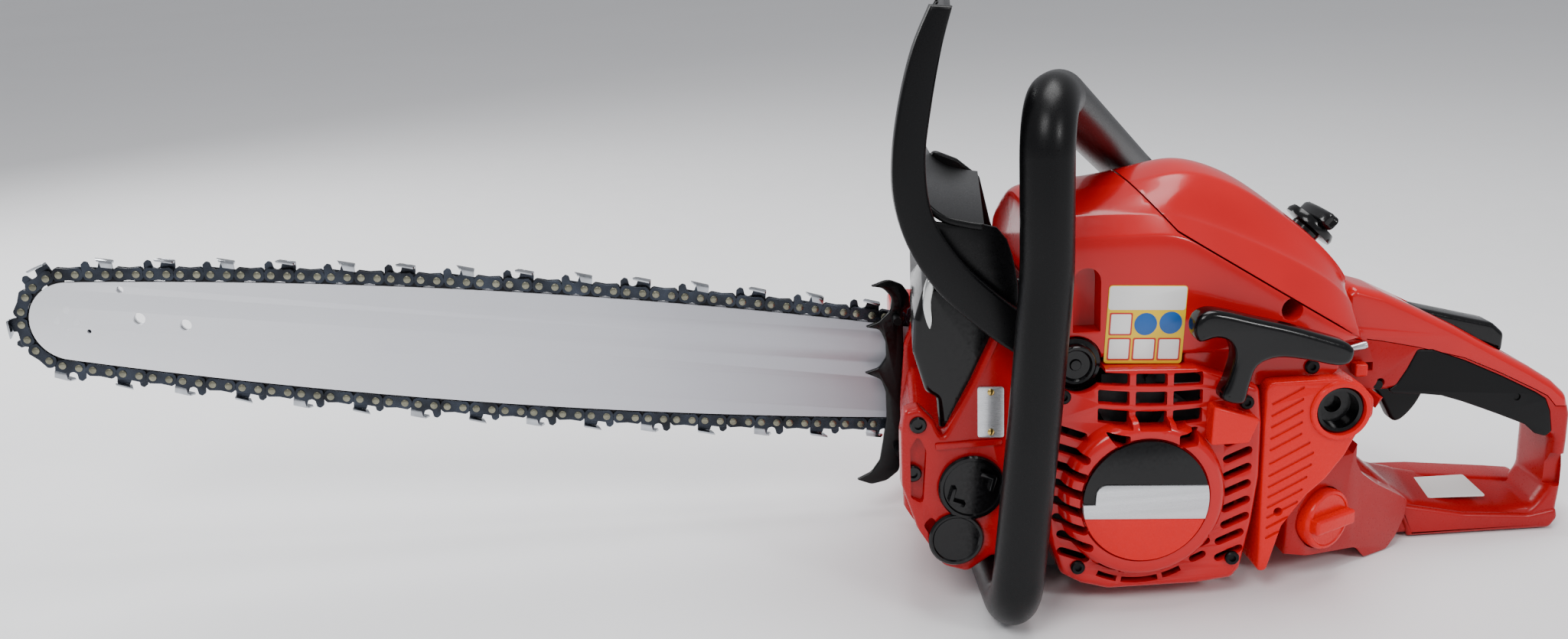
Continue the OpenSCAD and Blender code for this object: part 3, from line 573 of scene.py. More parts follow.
# ---------------------------------------------------------------- camera, lights and floor
def studio():
    """The camera at the photograph's angle, soft lights and a pale floor."""
    camera = bpy.data.cameras.new("camera")
    camera.sensor_width = 36
    camera.lens = 35.14
    obj = bpy.data.objects.new("camera", camera)
    bpy.context.scene.collection.objects.link(obj)
    bearing, drop, roll = math.radians(2.73), math.radians(15.93), math.radians(2.37)
    look = Vector((math.sin(bearing) * math.cos(drop), math.cos(bearing) * math.cos(drop),
                   -math.sin(drop)))
    across = Vector((math.cos(bearing), -math.sin(bearing), 0))
    down = look.cross(across)
    right = math.cos(roll) * across + math.sin(roll) * down
    below = -math.sin(roll) * across + math.cos(roll) * down
    matrix = Matrix((right, -below, -look)).transposed().to_4x4()
    matrix.translation = (-0.0341, -0.7679, 0.3556)
    obj.matrix_world = matrix
    bpy.context.scene.camera = obj

    world = bpy.data.worlds.new("world")
    world.use_nodes = True
    sky = world.node_tree.nodes["Background"]
    sky.inputs[0].default_value = (0.95, 0.96, 1.0, 1)
    sky.inputs[1].default_value = 0.5
    bpy.context.scene.world = world
    lamps = (("key", (-0.6, -1.2, 1.5), (0.05, 0, 0.12), 0.7, 17),
             ("top", (0.3, 0.15, 1.6), (0.1, 0, 0.1), 0.9, 20),
             ("window", (1.0, -1.2, 0.9), (0.2, 0, 0.12), 0.3, 7),
             ("rim", (-0.9, 0.9, 0.9), (0, 0, 0.1), 0.7, 14))
    for name, at, target, size, watts in lamps:
        light = bpy.data.lights.new(name, "AREA")
        light.size = size
        light.energy = watts
        lamp = bpy.data.objects.new(name, light)
        lamp.location = at
        lamp.rotation_euler = (Vector(target) - Vector(at)).to_track_quat("-Z", "Y").to_euler()
        bpy.context.scene.collection.objects.link(lamp)

    reach = 12.0
    mesh = bpy.data.meshes.new("floor")
    low = -0.0005
    mesh.from_pydata([(-reach, -reach, low), (reach, -reach, low), (reach, reach, low),
                      (-reach, reach, low)], [], [(0, 1, 2, 3)])
    floor = bpy.data.objects.new("floor", mesh)
    bpy.context.scene.collection.objects.link(floor)
    mesh.materials.append(node_material("pale_floor", (0.86, 0.86, 0.87), rough=0.7, spread=0.01,
                                        grain=40, bump=0.0, blotch=2))


# ---------------------------------------------------------------- bar and chain
def bar_point(u, v, y=0.0):
    """A point in the bar's own frame: u from the crankshaft to the nose, v away from the axis."""
    c, s = math.cos(BAR_PITCH), math.sin(BAR_PITCH)
    return Vector((CRANK_X - u * c + v * s, CHAIN_Y + y, CRANK_Z + u * s + v * c))


class ChainPath:
    """The rivet line: nose arc, rail arc, straight run and sprocket arc, above and below the bar."""

    def __init__(self):
        reach = NOSE_TO_APEX
        self.rail_r = (reach ** 2 + RAIL_HALF ** 2 - NOSE_R ** 2) / (2 * (RAIL_HALF - NOSE_R))
        self.nose_a = math.atan2(reach, self.rail_r - RAIL_HALF)
        self.tail_a = math.asin((APEX_U - TAIL_U) / self.rail_r)
        self.tail_h = RAIL_HALF - self.rail_r * (1 - math.cos(self.tail_a))
        far = math.hypot(TAIL_U, self.tail_h)
        self.sprocket_a = math.atan2(self.tail_h, TAIL_U) + math.acos(SPROCKET_R / far)
        self.runs = (NOSE_R * (math.pi / 2 - self.nose_a), self.rail_r * (self.nose_a + self.tail_a),
                     math.sqrt(far ** 2 - SPROCKET_R ** 2), SPROCKET_R * (math.pi - self.sprocket_a))
        self.half = sum(self.runs)
        self.step = 2 * self.half / DRIVE_COUNT

    def upper(self, s):
        nose, rail, straight, _ = self.runs
        if s < nose:
            a = s / NOSE_R
            return NOSE_DISTANCE + NOSE_R * math.cos(a), NOSE_R * math.sin(a), math.pi / 2 + a
        s -= nose
        if s < rail:
            b = self.nose_a - s / self.rail_r
            return (APEX_U + self.rail_r * math.sin(b), RAIL_HALF - self.rail_r * (1 - math.cos(b)),
                    math.pi - b)
        s -= rail
        if s < straight:
            h = math.pi / 2 + self.sprocket_a
            return TAIL_U + s * math.cos(h), self.tail_h + s * math.sin(h), h
        b = self.sprocket_a + (s - straight) / SPROCKET_R
        return SPROCKET_R * math.cos(b), SPROCKET_R * math.sin(b), math.pi / 2 + b

    def at(self, s):
        """(point u, v, heading) at distance s round the loop from the nose tip."""
        s = s % (2 * self.half)
        if s <= self.half:
            return self.upper(s)
        u, v, h = self.upper(2 * self.half - s)
        return u, -v, math.pi - h

    def placed(self, s, local):
        """Local points (t along the run towards the rear, y, n away from the bar) in the row frame."""
        u, v, h = self.at(s)
        c, d = math.cos(h), math.sin(h)
        out = []
        for t, y, n in local:
            out.append(bar_point(u + t * c + n * d, v + t * d - n * c, y))
        return out


PATH = ChainPath()


def prism(outline, y0, y1, chamfer=0.0):
    """(verts, faces) of a plate in chain coordinates, its edges chamfered."""
    n = len(outline)
    rings = [(chamfer, y0), (0, y0 + chamfer), (0, y1 - chamfer), (chamfer, y1)] if chamfer else \
        [(0, y0), (0, y1)]
    verts, faces = [], []
    for d, y in rings:
        verts.extend((t, y, m) for t, m in (inset(outline, d) if d else outline))
    for j in range(len(rings) - 1):
        for i in range(n):
            a, b = j * n + i, j * n + (i + 1) % n
            faces.append((a, b, b + n, a + n))
    last = (len(rings) - 1) * n
    faces.append(tuple(reversed(range(n))))
    faces.append(tuple(last + i for i in range(n)))
    return verts, faces


def strap_outline(half, r, waist):
    """Two round lobes joined by a waist."""
    right = arc(half, 0, r, -68, 68, 7)
    left = arc(-half, 0, r, 112, 248, 7)
    return right + [(0, waist)] + left + [(0, -waist)]


def chain():
    """Every link of the saw chain, placed round the loop."""
    step = PATH.step
    outer = step / 2 - RIVET_HALF
    strap = strap_outline(outer, 4.1, 3.2)
    drive = rounded([(-7.2, 0.4), (-5.8, 3.5), (-1.6, 2.6), (1.6, 2.6), (5.8, 3.5), (7.2, 0.4),
                     (5.2, -3.6), (3.2, -6.2), (-0.8, -8.1), (-4.2, -6.4), (-5.4, -3.6)], 1.2, 2)
    side_plate = rounded([(-8.2, -0.4), (-8.5, 5.6), (-6.6, 7.5), (-4.6, 6.8), (-3.5, 3.4), (-1.6, 2.7),
                          (0.4, 3.6), (1.2, 6.6), (8.2, 6.2), (8.6, 1.5), (7.4, -3.0), (3.2, -3.9),
                          (0, -3.1), (-3.2, -3.9), (-7.2, -3.2)], [1, .8, 1, 1, 1.5, 1.5, 1, .3, .4, 1, 2,
                                                                  1, 2, 1, 2], 2)
    head = [(2.1, 0.0), (2.05, 0.45), (1.5, 0.72), (0.7, 0.8)]
    drives, straps, plates, tops, rivets = [], [], [], [], []
    for i in range(DRIVE_COUNT):
        v, f = prism(drive, -0.62, 0.62, 0.15)
        drives.append((PATH.placed(i * step, v), f))
        s = (i + 0.5) * step
        for side in (1, -1):
            y0, y1 = (0.72, 1.97) if side > 0 else (-1.97, -0.72)
            cutting = i % 4 == (1 if side > 0 else 3)
            v, f = prism(side_plate if cutting else strap, y0, y1, 0.22)
            (plates if cutting else straps).append((PATH.placed(s, v), f))
            if cutting:
                y_out, y_in = side * 2.0, -side * 2.3
                high, low, thick = 8.3, 7.2, 1.25
                plan = [(-0.2, y_out), (8.4, y_out), (8.4, y_in + side * 0.9), (7.6, y_in), (-2.0, y_in)]
                up = [high - t * (high - low) / 8.4 for t, _ in plan]
                m = len(plan)
                v = [(t, y, h) for (t, y), h in zip(plan, up)]
                v += [(t + (0.5 if t < 4 else 0), y, h - thick) for (t, y), h in zip(plan, up)]
                f = [tuple(range(m)), tuple(reversed(range(m, 2 * m)))]
                f += [(k, (k + 1) % m, m + (k + 1) % m, m + k) for k in range(m)]
                tops.append((PATH.placed(s, v), f))
                wall = [(1.0, 8.2), (8.4, 7.3), (8.5, 3.2), (2.2, 4.0)]
                v = [(t, side * 1.9, h) for t, h in wall] + [(t + 0.1, side * 2.2, h) for t, h in wall]
                f = [(0, 1, 2, 3), (7, 6, 5, 4)]
                f += [(k, (k + 1) % 4, 4 + (k + 1) % 4, 4 + k) for k in range(4)]
                tops.append((PATH.placed(s, v), f))
        for end in (-1, 1):
            for side in (1, -1):
                v, f = [], []
                n = 12
                for r, h in head:
                    v += [(r * math.cos(2 * math.pi * k / n), side * (1.97 + h),
                           r * math.sin(2 * math.pi * k / n)) for k in range(n)]
                for j in range(len(head) - 1):
                    f += [(j * n + k, j * n + (k + 1) % n, (j + 1) * n + (k + 1) % n, (j + 1) * n + k)
                          for k in range(n)]
                f.append(tuple(range(n)))
                f.append(tuple((len(head) - 1) * n + k for k in range(n)))
                rivets.append((PATH.placed(i * step + end * RIVET_HALF, v), f))
    merged("saw_drive_links", drives, M["drive"], slot="chain_dark", replaces=("drive_links",))
    merged("saw_tie_straps", straps, M["chain"], slot="chain_dark", replaces=("tie_straps",))
    merged("saw_cutter_plates", plates, M["chain"], slot="cutter_chrome", replaces=("cutters",))
    tops_obj = merged("saw_cutter_tops", tops, M["chrome"], slot="cutter_chrome")
    bevelled(tops_obj, 0.25, 2)
    merged("saw_chain_rivets", rivets, M["rivet"], slot="chain_rivet", replaces=("chain_rivets",))


def bar_rim(d, n=60):
    """Half outlines of the bar, inset d from the rivet line."""
    p = PATH
    a0, a1 = p.nose_a, -p.tail_a
    rail = []
    for i in range(n + 1):
        b = a0 + (a1 - a0) * i / n
        rail.append((APEX_U + (p.rail_r - d) * math.sin(b),
                     RAIL_HALF - p.rail_r + (p.rail_r - d) * math.cos(b)))
    tip = []
    for i in range(1, 24):
        a = math.pi / 2 - a0 - i * (math.pi - 2 * a0) / 24
        tip.append((NOSE_DISTANCE + (NOSE_R - d) * math.cos(a), (NOSE_R - d) * math.sin(a)))
    tail = [(TAIL_U + 1, 14), (TAIL_U - 2, 6), (TAIL_U - 2, -6), (TAIL_U + 1, -14)]
    return list(reversed(tip[:12])) + rail + tail + [(u, -v) for u, v in reversed(rail)] + \
        list(reversed(tip[12:]))


def guide_bar():
    """Two side plates on a thin core, holes and slot cut through, with rivets at the nose insert."""
    def plate(y0, y1, d, r):
        outline = [(-u, v) for u, v in bar_rim(d)]
        verts, faces = pillow_data(outline, y0, y1, r, steps=2)
        return [bar_point(-x, z, y) for x, y, z in verts], faces

    left = finish_mesh("bar_plate_left", *plate(-2.4, -0.7, 4.3, 0.35), M["bar"], slot="bar_paint",
                       replaces=("guide_bar",))
    right = finish_mesh("bar_plate_right", *plate(0.7, 2.4, 4.3, 0.35), M["bar"], slot="bar_paint")
    core = finish_mesh("bar_core", *plate(-0.69, 0.69, 12.8, 0.1), M["rail"], slot="bar_paint")
    holes = [(526, 4, 3.4), (501, 2, 3.3), (536, 20, 2.0), (553, -5, 1.2), (101, 15, 3.2)]
    slot = slot_outline(-80.5, 0, 45, 8.4)
    for obj in (left, right, core):
        tools = []
        for u, v, r in holes:
            tools.append(bar_cutter(circle_outline(u, v, r, 24)))
        tools.append(bar_cutter([(-x, z) for x, z in slot]))
        boolean(obj, tools)
    rivets = []
    for du, dv in ((8.5, 0), (0, 6.5), (-8.5, 0), (0, -6.5)):
        for y, s in ((-2.4, -1), (2.4, 1)):
            vs, fs = [], []
            n = 18
            for r, h in ((2.1, 0), (2.0, 0.18), (1.2, 0.25)):
                vs += [bar_point(NOSE_DISTANCE + 2 + du * 0.62 + r * math.cos(2 * math.pi * i / n),
                                 dv + r * math.sin(2 * math.pi * i / n), y + s * h) for i in range(n)]
            for j in range(2):
                fs += [(j * n + i, j * n + (i + 1) % n, (j + 1) * n + (i + 1) % n, (j + 1) * n + i)
                       for i in range(n)]
            fs += [tuple(range(n)), tuple(2 * n + i for i in range(n))]
            rivets.append((vs, fs))
    merged("bar_nose_rivets", rivets, M["bar"], slot="bar_paint")


def bar_cutter(ring, depth=6.0):
    """A prism through the bar, its outline in the bar's own frame."""
    n = len(ring)
    verts = [bar_point(u, v, -depth) for u, v in ring] + [bar_point(u, v, depth) for u, v in ring]
    faces = [(i, (i + 1) % n, n + (i + 1) % n, n + i) for i in range(n)]
    faces += [tuple(reversed(range(n))), tuple(n + i for i in range(n))]
    return finish_mesh("cutter", verts, faces, None, body=None)


def bumper():
    """The spiked plate at the root of the bar, its hooks ground to points."""
    points = [(62, 26), (65, 42), (66, 60), (66, 122), (69.5, 124), (70, 131), (66, 137), (58, 140.5),
              (48, 137), (55, 135.5), (60, 130), (59, 122), (53, 116.5), (44.5, 113.5), (53, 111.5),
              (56, 104), (56, 95), (52, 89), (43.5, 86.5), (53, 82), (55.5, 74), (55.5, 58), (53, 44),
              (51, 33), (46, 26), (37.5, 22), (46, 18.5), (55, 20.5)]
    radii = [4, 8, 8, 3, 4, 5, 5, 8, 0.4, 6, 6, 5, 6, 0.4, 5, 5, 5, 6, 0.4, 5, 6, 8, 10, 8, 8, 0.4, 6, 6]
    pillow("spiked_plate", rounded(points, radii), 54.4, 57.2, 0.7, M["black"], steps=3,
           slot="black_steel", replaces=("spiked_bumper",))
    for k, z in enumerate((40, 118)):
        lathe(f"bumper_screw_{k}", [(2.3, -11), (2.3, 0), (3.8, 0.1), (3.8, 2.0), (3.2, 2.7), (1.9, 2.7),
                                    (1.9, 1.2), (0.1, 1.2)], facing_right(62, 57.3, z), M["satin"],
              slot="black_steel", replaces=("bumper_screws",) if not k else ())


# ---------------------------------------------------------------- front handle and hand guard
def front_handle():
    """The coated tube, wrapped from under the left side over the top to the right rear."""
    points = [(99, -16, 13), (97, -104.7, 13), (106, -104.7, 110), (111.5, -104.7, 180),
              (111, -104.7, 258), (124, -70, 256), (197, 66, 193), (238, 71, 150), (243, 62, 112),
              (243, 62, 62)]
    line = corner_path(points, [19, 300, 300, 22, 12, 24, 20, 40], 14)
    swept("front_tube", line, circle_outline(0, 0, 12.4, 40), M["tube"], slot="black_satin",
          replaces=("front_handle",), sharp=60)
    lathe("front_tube_collar", [(12.9, 0), (13.4, 1), (13.4, 15), (12.9, 16.5)], facing_left(99, -1.5, 13),
          M["rubber"], slot="black_satin")


def hand_guard():
    """Curved shield between two arms, with a flank on the left and a stiffening rib."""
    body = "hand_guard"
    slot = "black_gloss"
    front = smooth([(63, 301), (55, 283), (49, 261), (45, 236), (45, 214), (51, 192), (63, 171.5),
                    (80, 154), (100, 138), (117, 131)], 5)
    rear = smooth([(125, 137), (124, 147), (108, 155), (91, 168.5), (75, 185), (63, 206), (60, 231),
                   (63, 256), (68, 282), (73, 300)], 5)
    pillow("guard_arm_left", front + rear, -85, -77, 1.8, M["guard"], body=body, slot=slot, steps=4,
           replaces=("hand_guard",))
    line = smooth([(70, 299.5), (62.5, 285), (57, 265), (54, 247), (53.5, 228), (57.5, 211), (67, 201.5),
                   (78, 198), (87, 196.5)], 5)
    thick = 3.4
    outer = []
    for i, p in enumerate(line):
        a, b = Vector(line[max(i - 1, 0)]), Vector(line[min(i + 1, len(line) - 1)])
        t = (b - a).normalized()
        outer.append((p[0] - t.y * thick, p[1] + t.x * thick))
    shield = [tuple(p) for p in line] + list(reversed(outer))
    turn = Matrix.Translation((67, -77.2, 0)) @ Matrix.Rotation(math.radians(-9), 4, "Z") @ \
        Matrix.Translation((-67, 0, 0))
    pillow("guard_shield", shield, 0, 134, 1.2, M["guard"], body=body, slot=slot, steps=3, at=turn)
    for k in range(5):
        y = 22 + k * 22
        rib = line[2:22]
        back = [(x - 1.4, z) for x, z in rib]
        pillow(f"guard_rib_{k}", rib + list(reversed(back)), y, y + 2.4, 0.8, M["guard"], body=body,
               slot=slot, steps=2, at=turn)
    flank = smooth([(58, 210), (66, 201), (94, 197), (103, 176), (103, 158), (90, 169), (70, 188)], 3, True)
    pillow("guard_flank", flank, -77, -74.2, 1.0, M["guard"], body=body, slot=slot, steps=2)
    right = rounded([(84, 212), (98, 206), (110, 196), (116, 170), (126, 144), (124, 134), (116, 132),
                     (108, 140), (100, 170), (94, 192), (80, 200)], 4)
    pillow("guard_arm_right", right, 55.1, 61, 1.6, M["guard"], body=body, slot=slot, steps=3)


# ---------------------------------------------------------------- engine casings
def top_cover():
    """Glossy cover: a lofted body split into the front cover and the filter cover."""
    stations = [
        # x, base, left wall y, lower crease z, upper crease y, upper crease z, top z
        (113, 150, -58, 180, -46, 190, 196), (116, 138, -65, 185, -53, 195.5, 202),
        (124, 128, -68, 186.5, -56, 197, 204), (145, 125, -68, 187, -56, 197.5, 205),
        (163, 125, -68, 187, -56, 197, 207), (184, 125, -68, 187, -55, 195, 211.5),
        (197, 125, -68, 179, -53, 190.5, 214), (212, 125, -68, 170, -51, 184.5, 210.5),
        (228, 125, -67.5, 160, -50, 177, 203), (244, 125, -66.5, 149.5, -49, 169, 191),
        (258, 125, -64.5, 141, -47.5, 161, 180), (270, 125, -61, 134.5, -45, 153, 169),
        (279, 125, -56, 130, -42, 144, 158), (285, 125, -51, 127.5, -38, 136, 147)]
    rings = []
    for x, base, yl, z1, y2, z2, top in stations:
        right = 52 + min(0, (yl + 68) * -0.8) if yl > -68 else 52
        side_top = min(176, z2 - 8)
        ring = [(yl + 0.3, base), (yl, base + 2), (yl, base + (z1 - base) * 0.5), (yl + 0.4, z1 - 2.5),
                (yl + 1.6, z1 + 0.3), (yl + (y2 - yl) * 0.5, z1 + (z2 - z1) * 0.48), (y2 - 1.5, z2 - 0.8),
                (y2 + 2, z2 + 1.2), (y2 + 11, z2 + (top - z2) * 0.55), (-32, z2 + (top - z2) * 0.86),
                (-18, top), (-4, top), (8, top - (top - side_top) * 0.12),
                (22, top - (top - side_top) * 0.42), (right - 10, side_top + (top - side_top) * 0.2),
                (right - 3, side_top), (right, side_top - 6),
                (right, base + (side_top - base) * 0.4), (right, base + 2), (right - 0.3, base)]
        rings.append([(x, y, z) for y, z in ring])
    verts = [p for ring in rings for p in ring]
    m, n = len(rings[0]), len(rings)
    faces = [(i * m + k, i * m + k + 1, (i + 1) * m + k + 1, (i + 1) * m + k)
             for i in range(n - 1) for k in range(m - 1)]
    faces += [(i * m + m - 1, i * m, (i + 1) * m, (i + 1) * m + m - 1) for i in range(n - 1)]
    faces += [tuple(reversed(range(m))), tuple((n - 1) * m + k for k in range(m))]
    obj = finish_mesh("front_cover", verts, faces, M["red"], replaces=("top_cover",), sharp=180)
    crease(obj, [(i * m + k, (i + 1) * m + k) for i in range(n - 1) for k in (4, 6, 9)], 0.55)
    mod = obj.modifiers.new("smooth", "SUBSURF")
    mod.levels = mod.render_levels = 3
    baked(obj)
    seam = [(160, 230), (166, 209), (184, 187.5), (300, 114), (320, 114), (320, 230)]
    filter_cover = split(obj, "filter_cover", seam, 0.4)
    recess = [(132.5, 141), (146, 141), (146, 166)] + arc(139.2, 166, 6.8, 0, 180, 10)[1:] + [(132.5, 166)]
    hole = circle_outline(241, 146, 5.6)
    boolean(obj, [cutter(recess, -80, -56), cutter(hole, -80, -40),
                  cutter(circle_outline(*UPPER_ISOLATOR, 13.1), -80, -62)])
    bevelled(obj, 0.5, 2, 50)
    bevelled(filter_cover, 0.5, 2, 50)


def cover_skirt():
    """Red wall that closes the space between the top cover, the fan housing and the side cover."""
    outline = rounded([(188, 128), (188, 118), (222, 108), (258, 108), (266, 114), (266, 128)], 2, 3)
    pillow("cover_skirt", outline, -66.4, -60, 1.2, M["red"], steps=3)
    lathe("skirt_screw", [(3.6, 0), (3.6, 1.4), (2.9, 2), (1.6, 2), (1.5, 0.6), (0.1, 0.6)],
          facing_left(252, -66.2, 116.5), M["satin"], segments=24, slot="black_steel")


def air_filter():
    """Pleated felt element under the rear of the cover, kept clear of the cover's shoulders."""
    low, high = (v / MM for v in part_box("air_filter"))
    x0, x1 = low.x - MID_X + 1, high.x - MID_X - 4
    z0, z1 = low.z + 1, high.z - 6
    width = min(-low.y, high.y) - 8
    outline = rounded([(x0, z0), (x1, z0), (x1, z0 + (z1 - z0) * 0.3), (x1 - 10, z0 + (z1 - z0) * 0.7),
                       (x1 - 22, z1), (x0, z1)], 4, 4)
    pleats = 16
    step = 2 * width / pleats
    for k in range(pleats):
        y = -width + k * step
        edge = abs(y + step / 2) / width
        pillow(f"filter_pleat_{k}", inset(outline, 1 + 8 * edge ** 3), y + 0.15, y + step - 0.15, 1.2,
               M["felt"], steps=2, slot="filter_felt", replaces=("air_filter",) if not k else ())


def latch():
    """Black knob that holds the filter cover."""
    at = Matrix.Translation((271, -3, 171)) @ Matrix.Rotation(math.radians(44), 4, "Y")
    body, slot = "cover_latch", "black_gloss"
    profile = [(7.5, -8), (8, 0), (14, 1), (14.2, 3), (13, 5.4), (8, 6.2), (0.1, 6.4)]
    lathe("latch_base", profile, at, M["black"], body=body, slot=slot, replaces=("cover_latch",))
    wing = smooth([(-16, -3.5), (0, -5), (16, -3.5), (16.6, 0), (16, 3.5), (0, 5), (-16, 3.5),
                   (-16.6, 0)], 4, True)
    place_at = at @ Matrix.Rotation(math.radians(90), 4, "Z")
    pillow("latch_wing", wing, 5, 13, 2.6, M["black"], axis="z", at=place_at, body=body, slot=slot)


STARTER = [(129, 125), (192, 122), (223, 111), (225, 92), (225, 64), (222, 40), (217, 15), (213, 10),
           (195, 8), (150, 8), (136, 12), (126, 18), (119, 40), (116, 70), (117, 100), (121, 118)]
SIDE = [(226.5, 12), (231, 12), (238, 36), (250, 52), (259, 60), (268, 72), (274, 84), (281, 92),
        (281, 101), (274, 109), (262, 112), (226.5, 112)]


def grille_openings():
    """The air inlet above the boss: four sagging rows, the last one with its middle closed."""
    columns = ((143, 158.5), (161.5, 177), (180, 194.5))
    rows = ((121.8, 115.4), (113.2, 106), (103.8, 96.4))
    low_top, low_base = 94.2, 87.4

    def sagged(row, *points):
        deep = 1.6 * (0.5 + row * 0.35)
        return [(x, z - deep * (1 - ((x - 168) / 26) ** 2) - (x - 168) * 0.055) for x, z in points]

    out = []
    for row, (zt, zb) in enumerate(rows):
        for x0, x1 in columns:
            xm = (x0 + x1) / 2
            out.append(sagged(row, (x0, zt), (xm, zt), (x1, zt), (x1, zb), (xm, zb), (x0, zb)))
    left = sagged(3, (145, low_top), (157, low_top), (157, low_base), (145, low_base))
    right = sagged(3, (181, low_top), (193, low_top), (193, low_base), (181, low_base))
    left[3] = (left[3][0] + 5, left[3][1])
    right[2] = (right[2][0] - 3, right[2][1])
    return [rounded(quad, 0.8, 2) for quad in out + [left, right]]


def starter_cover():
    """Fan housing with its grille, slanted slots and round boss."""
    outline = rounded(STARTER, 5, 5)
    obj = pillow("fan_cover", outline, -77, -44, 3.5, M["red"], replaces=("starter_cover",))
    profile = [(41.5, 0), (40.5, 6), (38.6, 8.6), (36.5, 9.6), (32.2, 9.6), (32, 9.2), (31.6, 7.6),
               (0.1, 7.6)]
    boss = lathe("boss", profile, facing_left(BADGE_X, -76.2, BADGE_Z), M["red"], body=None, segments=96)
    boolean(obj, [boss], "UNION")
    tools = [cutter(inset(outline, 4), -72.5, -40), cutter(circle_outline(*UPPER_ISOLATOR, 13.1), -80, -62)]
    openings = grille_openings()
    for i in range(8):
        x = 128.5 + (i > 5) * 2 + abs(i - 3.5) * 0.4
        openings.append(slot_outline(x, 93 - 9.2 * i, 17.5, 4.4, -21))
    for i in range(9):
        openings.append(slot_outline(213 - (i > 6) * 2.5, 94 - 8.7 * i, 15.5, 4.2, 22))
    for i, (z, length) in enumerate(((38.5, 5), (31, 8), (23.5, 9))):
        openings.append(slot_outline(199.5 - i * 2.4, z, length, 3.8, 24))
    for radius, spans in ((40.5, ((236, 254), (257, 284), (287, 303))),
                          (46.2, ((243, 256), (259, 282), (285, 297)))):
        for a0, a1 in spans:
            openings.append(arc(BADGE_X, BADGE_Z, radius + 1.5, a0, a1, 8)
                            + arc(BADGE_X, BADGE_Z, radius - 1.5, a1, a0, 8))
    tools += [cutter(opening, -95, -60) for opening in openings]
    boolean(obj, tools)
    bevelled(obj, 0.45, 2, 40)
    post = [(4.9, 0), (4.9, 12.5), (4.5, 13)]
    lathe("pulley_post", post, facing_left(CRANK_X, -71, CRANK_Z), M["red"])
    for k, (x, z) in enumerate(((126, 112), (216, 104), (212, 22), (134, 22))):
        lathe(f"cover_screw_{k}", [(3.5, 0), (3.5, 1.6), (2.9, 2.2), (1.7, 2.2), (1.6, 0.8), (0.1, 0.8)],
              facing_left(x, -77.2, z), M["satin"], segments=24, slot="black_steel",
              replaces=("cover_screws",) if not k else ())


def badge():
    """Round panel: black above, a brushed band with a stepped end, red below. No mark on it."""
    r = BADGE_R - 0.3
    c = (BADGE_X, BADGE_Z)
    zt, zb = 8.6, -8.8

    def at_height(z):
        return math.degrees(math.asin(z / r))

    top_a, low_a = at_height(zt), at_height(zb)
    black = arc(*c, r, top_a, 180, 44) + [(c[0] - r + 0.5, BADGE_Z - 1.3), (c[0] - 25.2, BADGE_Z - 1.3)] + \
        list(reversed(arc(c[0] - 20, BADGE_Z + zt - 5, 5.2, 90, 180, 5)))
    band = arc(*c, r, low_a, top_a, 8) + arc(c[0] - 20, BADGE_Z + zt - 5, 5, 90, 180, 5) + \
        [(c[0] - 25, BADGE_Z - 1.6)] + arc(*c, r, 183, 180 - low_a, 6)
    red = arc(*c, r, 180 - low_a, 360 + low_a, 44)
    for name, outline, y, mat in (("badge_black", black, -87.2, "black"),
                                  ("badge_band", band, -87.9, "badge"),
                                  ("badge_red", red, -87.2, "red_bright")):
        pillow(name, turned(outline, PANEL_TILT, c), y, -84.7, 0.3, M[mat], steps=2, slot="badge",
               replaces=("starter_badge",) if name == "badge_black" else ())


def label():
    """Blank two-colour sticker with generic tiles."""
    cx, cz = 168.0, 143.2
    y = -68.05

    def sheet(name, x0, z0, x1, z1, r, lift, mat):
        corners = [(cx + x0, cz + z0), (cx + x1, cz + z0), (cx + x1, cz + z1), (cx + x0, cz + z1)]
        pts = rounded(corners, r, 4)
        pillow(name, turned(pts, PANEL_TILT, (cx, cz)), y - lift, y - lift + 0.24, 0.08, M[mat], steps=2,
               slot="bar_paint")

    sheet("label_sheet", -19.3, -19.6, 19.3, 19.6, 2, 0.25, "yellow")
    sheet("label_top", -18.9, 7.4, 18.9, 19.2, 1.6, 0.4, "white")
    for row in range(2):
        for col in range(3):
            x = -18.0 + col * 12.3
            z = -5.4 - row * 12.6
            if row == 0 and col:
                disc = circle_outline(cx + x + 5.7, cz + z + 5.7, 5.6, 32)
                pillow(f"label_disc_{col}", disc, y - 0.4, y - 0.15, 0.08, M["blue"], steps=2,
                       slot="bar_paint")
            else:
                sheet(f"label_edge_{row}{col}", x, z, x + 11.4, z + 11.4, 1, 0.4, "label_red")
                sheet(f"label_tile_{row}{col}", x + 0.8, z + 0.8, x + 10.6, z + 10.6, 0.7, 0.5, "white")


def side_cover():
    """Rear left cover with slanted grooves and a round opening."""
    outline = rounded(SIDE, 5, 4)
    obj = pillow("ribbed_cover", outline, -75, -44.6, 1.6, M["red_bright"], replaces=("side_cover",))
    rim = lathe("rim", [(15.2, 0), (15.2, 5.2), (14.4, 6.2), (0.1, 6.2)],
                facing_left(REAR_ISOLATOR[0], -71, REAR_ISOLATOR[1]), M["red_bright"], body=None,
                segments=64)
    boolean(obj, [rim], "UNION")
    tools = [cutter(circle_outline(*REAR_ISOLATOR, 12.4), -90, -30),
             cutter(circle_outline(235.5, 44, 2.3), -90, -66)]
    for i in range(13):
        z = 108 - 6.0 * i
        x0 = 229.5
        limit = 246.5 if z > 82 else 254 - abs(z - 70) * 0.35
        length = max(limit - x0, 6) * 1.06
        tools.append(cutter(slot_outline(x0 + length * 0.45, z - 3, length, 1.5, 27), -90, -73.8))
    boolean(obj, tools)
    bevelled(obj, 0.35, 2, 40)
    profile = [(12.1, 0), (12.1, 22), (11.2, 23), (9.6, 22.6), (9.0, 14), (4.4, 13.4), (4.2, 9), (0.1, 9)]
    lathe("isolator_rear", profile, facing_left(REAR_ISOLATOR[0], -52, REAR_ISOLATOR[1]), M["black"],
          slot="black_gloss", replaces=("isolator_caps",))


